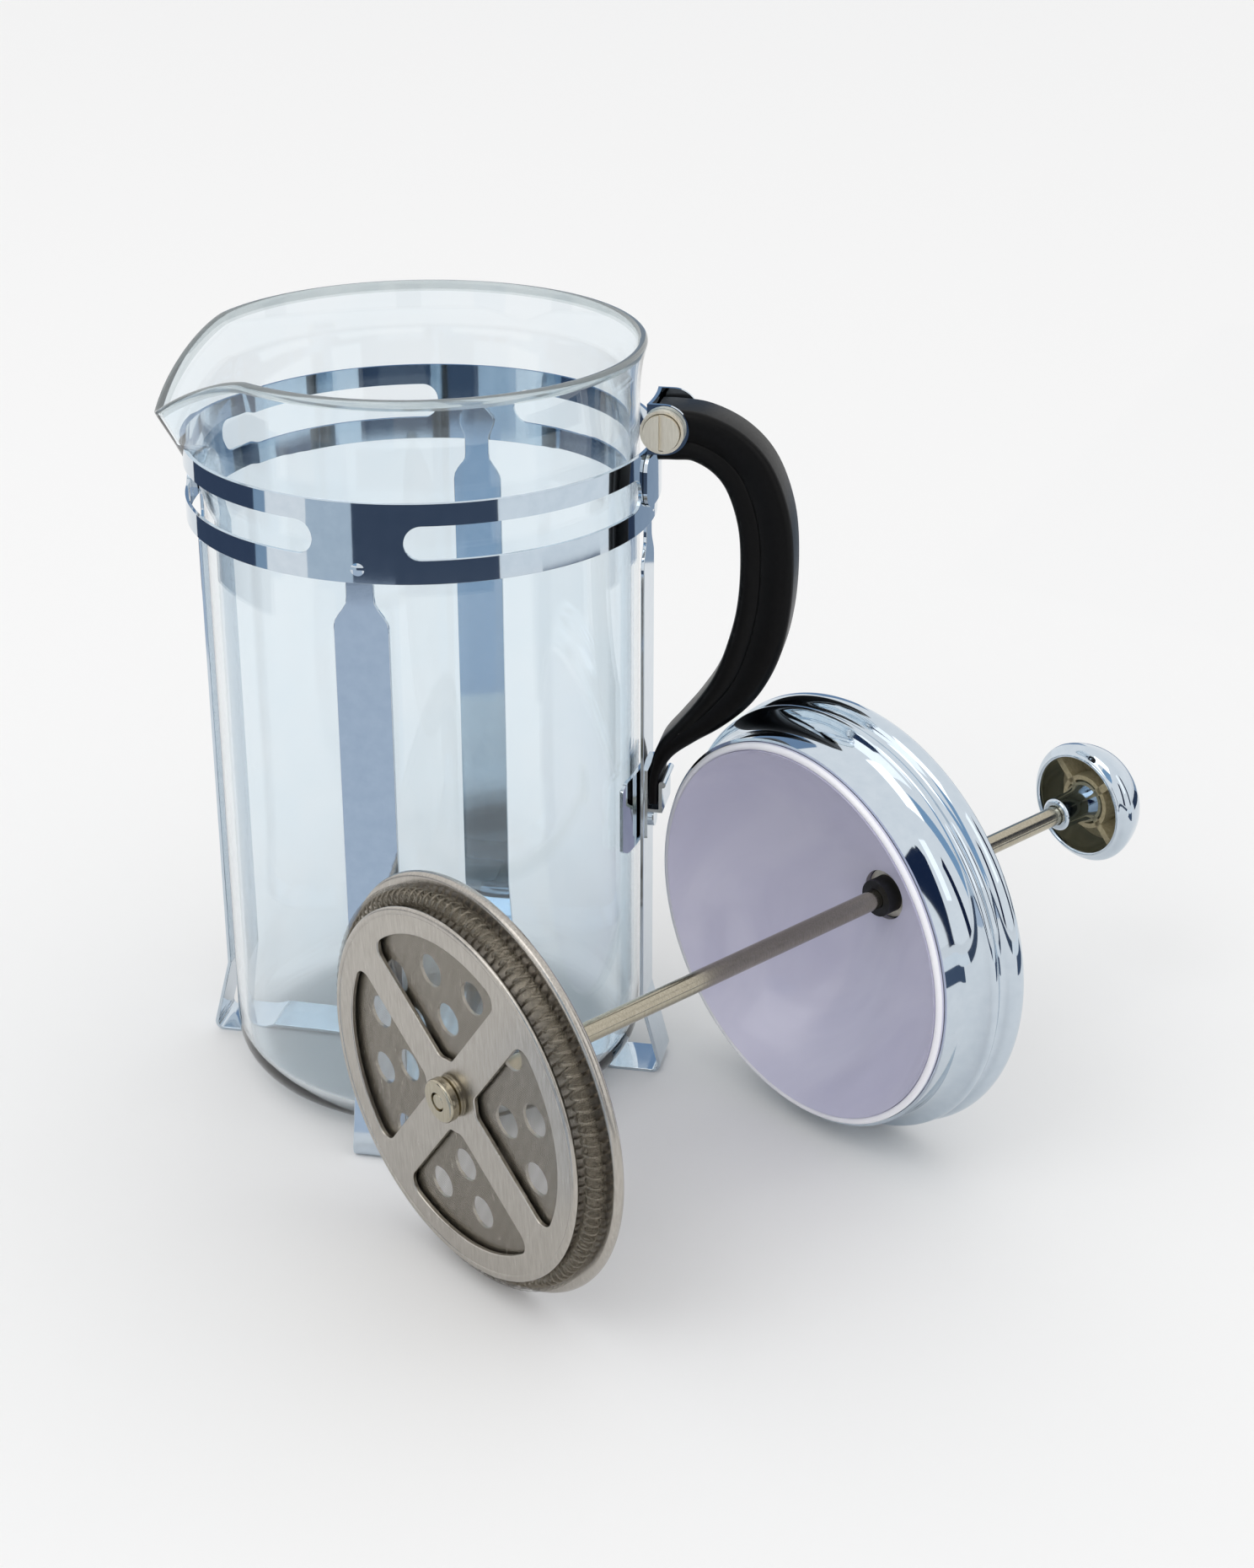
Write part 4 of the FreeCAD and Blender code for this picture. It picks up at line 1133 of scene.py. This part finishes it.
# ------------------------------------------------------------------ lid
@dataclass
class Lid:
    """Chromed dome, plastic liner, rod guide and its ring."""

    rim: float = 86.9
    sheet: float = 0.7
    skirt: float = 46.0
    skirt_length: float = 5.2
    waist: float = 47.0
    bead: float = 50.3
    bead_place: float = 12.4
    bead_half: float = 1.1
    bead_depth: float = 0.9
    groove: float = 48.9
    flange: float = 51.35
    flange_place: float = 18.3
    flange_half: float = 2.6
    flange_depth: float = 1.9
    dome: float = 31.4
    liner_radius: float = 45.2
    liner_sheet: float = 1.4
    liner_lip: float = 1.7
    liner_depth: float = 28.4
    liner_hole: float = 6.0
    guide: float = 4.4
    guide_flange: float = 6.6
    guide_flange_height: float = 1.2
    guide_length: float = 6.0
    rod: float = 2.38

    def surface(self, inset: float) -> Profile:
        """Dome's surface from the skirt to the hole.

        Args:
            inset: distance inside the outer surface.

        Returns:
            Points of the profile.
        """
        start = self.rim
        middle = self.waist - inset
        low = (self.bead - self.bead_depth - inset, start + self.bead_place - self.bead_half)
        high = (low[0], start + self.bead_place + self.bead_half)
        under = (self.flange - self.flange_depth - inset, start + self.flange_place - self.flange_half)
        over = (under[0], start + self.flange_place + self.flange_half)
        crown = start + self.dome - inset
        rise = crown - over[1]
        ball = (over[0] ** 2 + rise ** 2) / (2 * rise)
        points = [(self.skirt - inset, start + self.liner_sheet + 0.1)]
        points += bow((self.skirt - inset, start + self.skirt_length),
                      (middle, start + (self.skirt_length + self.bead_place) / 2 + 0.6), low, 10)
        points += bow(low, (self.bead - inset, start + self.bead_place), high, 8)[1:]
        points += bow(high, (self.groove - inset, (high[1] + under[1]) / 2), under, 6)[1:]
        points += bow(under, (self.flange - inset, start + self.flange_place), over, 14)[1:]
        hole = self.guide + 0.1
        spans = 20
        for i in range(1, spans + 1):
            radius = over[0] + (hole - over[0]) * i / spans
            points.append((radius, crown - ball + math.sqrt(ball ** 2 - radius ** 2)))
        return points

    def dome_sheet(self) -> Mesh:
        """Dome drawn from one sheet."""
        return spun(self.surface(0.0) + list(reversed(self.surface(self.sheet))), steps=240)

    def liner(self) -> Mesh:
        """Bowl with a raised ring round its mouth."""
        mouth = self.liner_radius - self.liner_lip
        ball = (mouth ** 2 + self.liner_depth ** 2) / (2 * self.liner_depth)
        centre = self.rim + self.liner_depth - ball
        big = ball + self.liner_sheet
        spans = 24

        def bowl(radius: float, size: float) -> Point2:
            """Point of a ball about the bowl's centre."""
            return radius, centre + math.sqrt(size ** 2 - radius ** 2)

        inside = [bowl(mouth + (self.liner_hole - mouth) * i / spans, ball) for i in range(spans + 1)]
        foot = math.sqrt(big ** 2 - (self.rim + self.liner_sheet - centre) ** 2)
        outside = [bowl(self.liner_hole + (foot - self.liner_hole) * i / spans, big)
                   for i in range(spans + 1)]
        lip = self.liner_lip / 2
        ring = arc((self.liner_radius - lip, self.rim + lip), lip, 0, -180, 10)
        corner = (self.liner_radius, self.rim + self.liner_sheet)
        return spun([*inside, *outside, corner, *ring], steps=200)

    def bush(self) -> Mesh:
        """Flanged bush that the rod slides through."""
        crown = self.rim + self.dome
        top = crown + 0.05
        low = crown - self.guide_length
        profile = [(self.rod, low), (self.guide, low), (self.guide, top), (self.guide_flange, top)]
        profile += arc((self.guide_flange - 0.5, top + self.guide_flange_height - 0.5), 0.5, 0, 90, 4)
        profile += [(self.rod, top + self.guide_flange_height)]
        return spun(profile, steps=64)

    def build(self) -> None:
        """Make the lid."""
        piece("lid_dome_sheet", self.dome_sheet(), Body.LID, CHROME, place=PLUNGER,
              stands_for=["lid_dome"])
        liner = self.liner()
        # The faces of the mouth's ring take a whiter copy of the liner's plastic: a painted highlight.
        for face in liner.faces:
            middle = face.calc_center_median()
            on_ring = middle.xy.length > self.liner_radius - self.liner_lip
            face.material_index = int(on_ring and middle.z < self.rim + self.liner_lip / 2)
        made = piece("liner_bowl", liner, Body.LID, LINER_PLASTIC, place=PLUNGER,
                     stands_for=["lid_liner"])
        made.data.materials.append(material(LINER_PAINTED_HIGHLIGHT))
        piece("rod_guide_bush", self.bush(), Body.LID, GUIDE_PLASTIC, place=PLUNGER,
              stands_for=["rod_guide"])
        frame_piece("guide_retainer", SCREW_STEEL)


# ------------------------------------------------------------------ rod and knob
@dataclass
class RodAndKnob:
    """Rod and the knob screwed on its end."""

    rod: float = 2.3
    thread: float = 1.95
    pitch: float = 0.8
    low_end: float = -11.5
    low_shoulder: float = -5.95
    high_shoulder: float = 173.5
    high_end: float = 186.0
    face: float = 172.5
    rim: float = 180.6
    radius: float = 15.0
    mouth: float = 12.2
    depth: float = 12.6
    shell: float = 1.0
    boss: float = 4.0
    boss_base: float = 5.6
    rib: float = 1.8
    floor: float = 4.0
    core_depth: float = 2.5
    core_gap: float = 0.2
    boss_gap: float = 0.08
    chamfer: float = 0.2
    thread_chamfer: float = 0.4
    thread_start: float = 0.6
    thread_end: float = 0.8
    thread_depth: float = 0.25

    def rod_mesh(self) -> Mesh:
        """Polished rod with chamfered shoulders and a rounded thread at its low end."""
        profile = [(0.0, self.low_end), (self.thread - self.thread_chamfer, self.low_end),
                   (self.thread, self.low_end + self.thread_chamfer)]
        turns = int((self.low_shoulder - self.low_end - self.thread_end) / self.pitch)
        for i in range(turns):
            start = self.low_end + self.thread_start + i * self.pitch
            profile += [(self.thread - self.thread_depth, start), (self.thread, start + self.pitch / 2)]
        low = self.low_shoulder + self.chamfer
        length = self.high_shoulder - self.low_shoulder - 2 * self.chamfer
        profile += [(self.thread, self.low_shoulder), (self.rod - self.chamfer, self.low_shoulder)]
        spans = 40
        profile += [(self.rod, low + length * i / spans) for i in range(spans + 1)]
        profile += [(self.thread, self.high_shoulder), (self.thread, self.high_end), (0.0, self.high_end)]
        return spun(profile, closed=False, steps=48)

    def dome(self, inset: float, mouth: float) -> Profile:
        """Knob's surface from its open edge to its crown.

        Args:
            inset: distance inside the outer surface.
            mouth: radius of the open edge.

        Returns:
            Points of the profile.
        """
        widest = self.radius - inset
        height = self.depth - inset
        points = [(mouth, self.rim), (widest, self.rim + 0.2 * self.depth),
                  (widest * 0.82, self.rim + height * 0.68), (widest * 0.45, self.rim + height * 0.94),
                  (0.0, self.rim + height)]
        return [(max(radius, 0.0), place) for radius, place in smooth_run(points, 8)]

    def shell_mesh(self) -> Mesh:
        """Chromed shell with a rolled open edge."""
        outside = self.dome(0.0, self.mouth + self.shell)
        inside = self.dome(self.shell, self.mouth)
        edge = arc((self.mouth + self.shell / 2, self.rim), self.shell / 2, 180, 360, 6)[1:-1]
        return spun(list(reversed(inside)) + edge + outside, closed=False, steps=96)

    def core_mesh(self) -> Mesh:
        """Moulded cross ribs, sleeve and floor."""
        low = self.rim + self.core_depth
        crown = self.rim + self.depth - self.shell
        inside = self.dome(self.shell + self.core_gap, self.mouth - self.core_gap)
        inside = [point for point in inside if point[1] > low]
        half = [(radius, place) for radius, place in inside if radius > self.rib]
        made = []
        for turn in (45, 135):
            bm = bmesh.new()
            outline = [(half[0][0], low)] + half
            outline += [(-radius, place) for radius, place in reversed(outline)]
            verts = [bm.verts.new((x, -self.rib / 2, z)) for x, z in outline]
            grown = bmesh.ops.extrude_face_region(bm, geom=[bm.faces.new(verts)])
            far = [item for item in grown["geom"] if isinstance(item, bmesh.types.BMVert)]
            bmesh.ops.translate(bm, verts=far, vec=(0, self.rib, 0))
            bm.transform(Matrix.Rotation(math.radians(turn), 4, "Z"))
            made.append(bm)
        sleeve = self.boss_base + 1.2
        bore = self.boss_base + 0.05
        made.append(spun([(bore, low), (sleeve, low), (sleeve, crown - 2), (bore, crown - 2)], steps=48))
        floor = crown - self.floor
        lining = [point for point in inside if point[1] > floor]
        made.append(spun([(0.0, floor), (lining[0][0], floor)] + lining, closed=False, steps=64))
        return joined(*made)

    def boss_mesh(self) -> Mesh:
        """Turned boss."""
        bore = self.rod + self.boss_gap
        step = 0.5
        profile = [(bore, self.face), (self.boss - step, self.face), (self.boss, self.face + step),
                   (self.boss, self.rim - 1.0), (self.boss_base, self.rim + 3.0),
                   (self.boss_base, self.rim + 7.0), (bore, self.rim + 7.0)]
        return spun(profile, steps=48)

    def build(self) -> None:
        """Make the rod and the knob."""
        make = (
            ("polished_rod", self.rod_mesh(), Body.PLUNGER, ROD_STEEL, "plunger_rod", 0.0),
            ("knob_dome_shell", self.shell_mesh(), Body.KNOB, CHROME, "knob_shell", 0.0),
            ("knob_ribbed_core", self.core_mesh(), Body.KNOB, KNOB_PLASTIC, "knob_core", 0.0),
            ("knob_turned_boss", self.boss_mesh(), Body.KNOB, CHROME, "knob_boss", 0.2),
        )
        for name, bm, body, finish, node, edge in make:
            piece(name, bm, body, finish, place=PLUNGER, stands_for=[node], edge=edge)


# ------------------------------------------------------------------ stage
@dataclass
class Studio:
    """Camera, floor, cards and light."""

    camera_place: tuple[float, float, float] = (0.15415, -0.55399, 0.33174)
    pitch: float = 65.35
    heading: float = 11.0
    film: float = 36.0
    lens: float = 61.7
    floor_size: float = 12.0
    floor_colour: str = "#f2f2f2"
    card_lift: float = 0.0015
    daylight: float = 1.0
    lamp_size: tuple[float, float] = (0.9, 0.7)
    lamp_power: float = 2.6
    lamp_place: tuple[float, float, float] = (-0.5, -0.8, 1.3)
    lamp_aim: tuple[float, float, float] = (0.05, 0.0, 0.08)

    def camera(self) -> None:
        """Set the camera."""
        data = bpy.data.cameras.new("camera")
        data.sensor_fit = "VERTICAL"
        data.sensor_height = self.film
        data.lens = self.lens
        data.clip_start = 0.01
        made = bpy.data.objects.new("camera", data)
        made.location = self.camera_place
        made.rotation_euler = (math.radians(self.pitch), 0.0, math.radians(self.heading))
        bpy.context.scene.collection.objects.link(made)
        bpy.context.scene.camera = made

    @staticmethod
    def board(width: float, height: float) -> Mesh:
        """Flat square-cornered board about the origin, in metres."""
        bm = bmesh.new()
        bmesh.ops.create_grid(bm, x_segments=1, y_segments=1, size=0.5)
        bmesh.ops.scale(bm, vec=(width, height, 1.0), verts=bm.verts)
        return bm

    def card(self, name: str, centre: Vector, aim: Vector, size: Point2, colour: str,
             strength: float) -> None:
        """Hang a card that shows in reflections only.

        Args:
            name: card name.
            centre: middle of the card, in metres.
            aim: point that it faces.
            size: width and height in metres.
            colour: sRGB hex colour.
            strength: brightness.
        """
        bm = self.board(*size)
        turn = (aim - centre).to_track_quat("Z", "Y").to_matrix().to_4x4()
        bm.transform(Matrix.Translation(centre) @ turn)
        self.hang(name, bm, colour, strength)

    def hang(self, name: str, bm: Mesh, colour: str, strength: float) -> bpy.types.Object:
        """Show a card's mesh in reflections only.

        Args:
            name: card name.
            bm: its mesh in metres; it is freed.
            colour: sRGB hex colour.
            strength: brightness.

        Returns:
            The card.
        """
        made = shown(name, bm)
        paint = bpy.data.materials.new(name)
        paint.use_nodes = True
        tree = paint.node_tree
        tree.nodes.clear()
        glow = add_node(tree, "ShaderNodeEmission", Color=linear(colour), Strength=strength)
        add_node(tree, "ShaderNodeOutputMaterial", {"Surface": glow.outputs["Emission"]})
        made.data.materials.append(paint)
        made.visible_camera = False
        made.visible_diffuse = False
        made.visible_shadow = False
        made.visible_transmission = False
        return made

    def floor_card(self, name: str, first: float, last: float, span: Point2, colour: str) -> None:
        """Lay a card just above the floor that only shows in upright chrome.

        Args:
            name: card name.
            first: angle of one side in degrees, from the handle's direction.
            last: angle of the other side.
            span: distance of its near and far edge from the origin, in metres.
            colour: sRGB hex colour.
        """
        bm = bmesh.new()
        verts = [bm.verts.new((reach, 0.0, self.card_lift)) for reach in span]
        side = bm.edges.new(verts)
        bmesh.ops.rotate(bm, verts=verts, cent=(0, 0, 0),
                         matrix=Matrix.Rotation(math.radians(first), 3, "Z"))
        bmesh.ops.spin(bm, geom=[*verts, side], axis=(0, 0, 1), cent=(0, 0, 0), dvec=(0, 0, 0),
                       angle=math.radians(last - first), steps=12, use_merge=False, use_duplicate=False)
        made = self.hang(name, bm, colour, 1.0)
        made.visible_transmission = True

    def cards(self) -> None:
        """Dark and bright cards that the chrome mirrors."""
        aim = Vector((0.0, 0.0, 0.1))   # about the middle of the press
        for name, turn, rise, far, size, colour, strength in (
            ("dark_card_front", -70.0, 4.0, 1.5, (0.35, 1.6), "#1c2740", 1.0),
            ("dark_card_left", 200.0, 8.0, 1.6, (0.4, 1.6), "#2a3a56", 1.0),
            ("dark_card_right", 8.0, 8.0, 1.6, (0.4, 1.8), "#1e2b45", 1.0),
            ("grey_card_back", 100.0, 10.0, 1.8, (0.8, 1.2), "#7c96b4", 1.0),
            ("blue_card_low", -115.0, 12.0, 1.6, (0.5, 1.4), "#8fb0cf", 1.0),
            ("bright_card_left", -150.0, 30.0, 1.6, (0.7, 1.0), "#ffffff", 1.5),
            ("bright_card_right", -30.0, 35.0, 1.6, (0.6, 0.9), "#ffffff", 1.5),
        ):
            out, up = polar(1.0, rise)
            way = Vector((*polar(out, turn), up))
            self.card(name, aim + way * far, aim, size, colour, strength)
        for name, first, last, near, far, colour in (
            ("floor_card_front", -107.0, -41.0, 0.40, 0.75, "#434f62"),
            ("floor_card_near_left", -129.0, -107.0, 0.40, 0.75, "#c3d0dc"),
            ("floor_card_left", -151.0, -129.0, 0.40, 0.75, "#ffffff"),
            ("floor_card_mid_left", -158.0, -151.0, 0.40, 0.75, "#8ea6bd"),
            ("floor_card_far_left", 150.0, 202.0, 0.36, 0.75, "#3d4a60"),
            ("floor_card_right", -41.0, 27.0, 0.42, 0.75, "#f4f8fb"),
            ("floor_card_back_right", 27.0, 43.0, 0.36, 0.75, "#344157"),
            ("floor_card_bracket", 43.0, 75.0, 0.36, 0.75, "#93a4b8"),
            ("floor_card_strap", -120.0, -88.0, 0.12, 0.42, "#c2cede"),
            ("floor_card_lid", -20.0, 14.0, 0.29, 0.42, "#4c5a70"),
        ):
            self.floor_card(name, first, last, (near, far), colour)

    def floor(self) -> None:
        """Plain pale floor."""
        made = shown("floor", self.board(self.floor_size, self.floor_size))
        made.location = (0, 0, cad_box[0][2])
        paint = bpy.data.materials.new("floor_paper")
        paint.use_nodes = True
        shader = paint.node_tree.nodes["Principled BSDF"]
        shader.inputs["Base Color"].default_value = linear(self.floor_colour)
        shader.inputs["Roughness"].default_value = 0.9
        shader.inputs["Specular IOR Level"].default_value = 0.1
        made.data.materials.append(paint)

    def light(self) -> None:
        """Even daylight and one soft lamp."""
        world = bpy.data.worlds.new("daylight")
        world.use_nodes = True
        background = world.node_tree.nodes["Background"]
        background.inputs["Color"].default_value = (1.0, 1.0, 1.0, 1.0)
        background.inputs["Strength"].default_value = self.daylight
        bpy.context.scene.world = world
        lamp = bpy.data.lights.new("soft_lamp", "AREA")
        lamp.shape = "RECTANGLE"
        lamp.size, lamp.size_y = self.lamp_size
        lamp.energy = self.lamp_power
        made = bpy.data.objects.new("soft_lamp", lamp)
        made.location = self.lamp_place
        way = Vector(self.lamp_aim) - made.location
        made.rotation_euler = way.to_track_quat("-Z", "Y").to_euler()
        bpy.context.scene.collection.objects.link(made)

    def build(self) -> None:
        """Set the stage."""
        bpy.context.scene.view_settings.view_transform = "Standard"
        self.camera()
        self.floor()
        self.cards()
        self.light()


def main() -> None:
    """Build every piece, in the order that the real object is put together."""
    for part in (Beaker(), Stand(), Grip(), Filter(), Lid(), RodAndKnob(), Studio()):
        part.build()


if __name__ == "__main__":
    main()
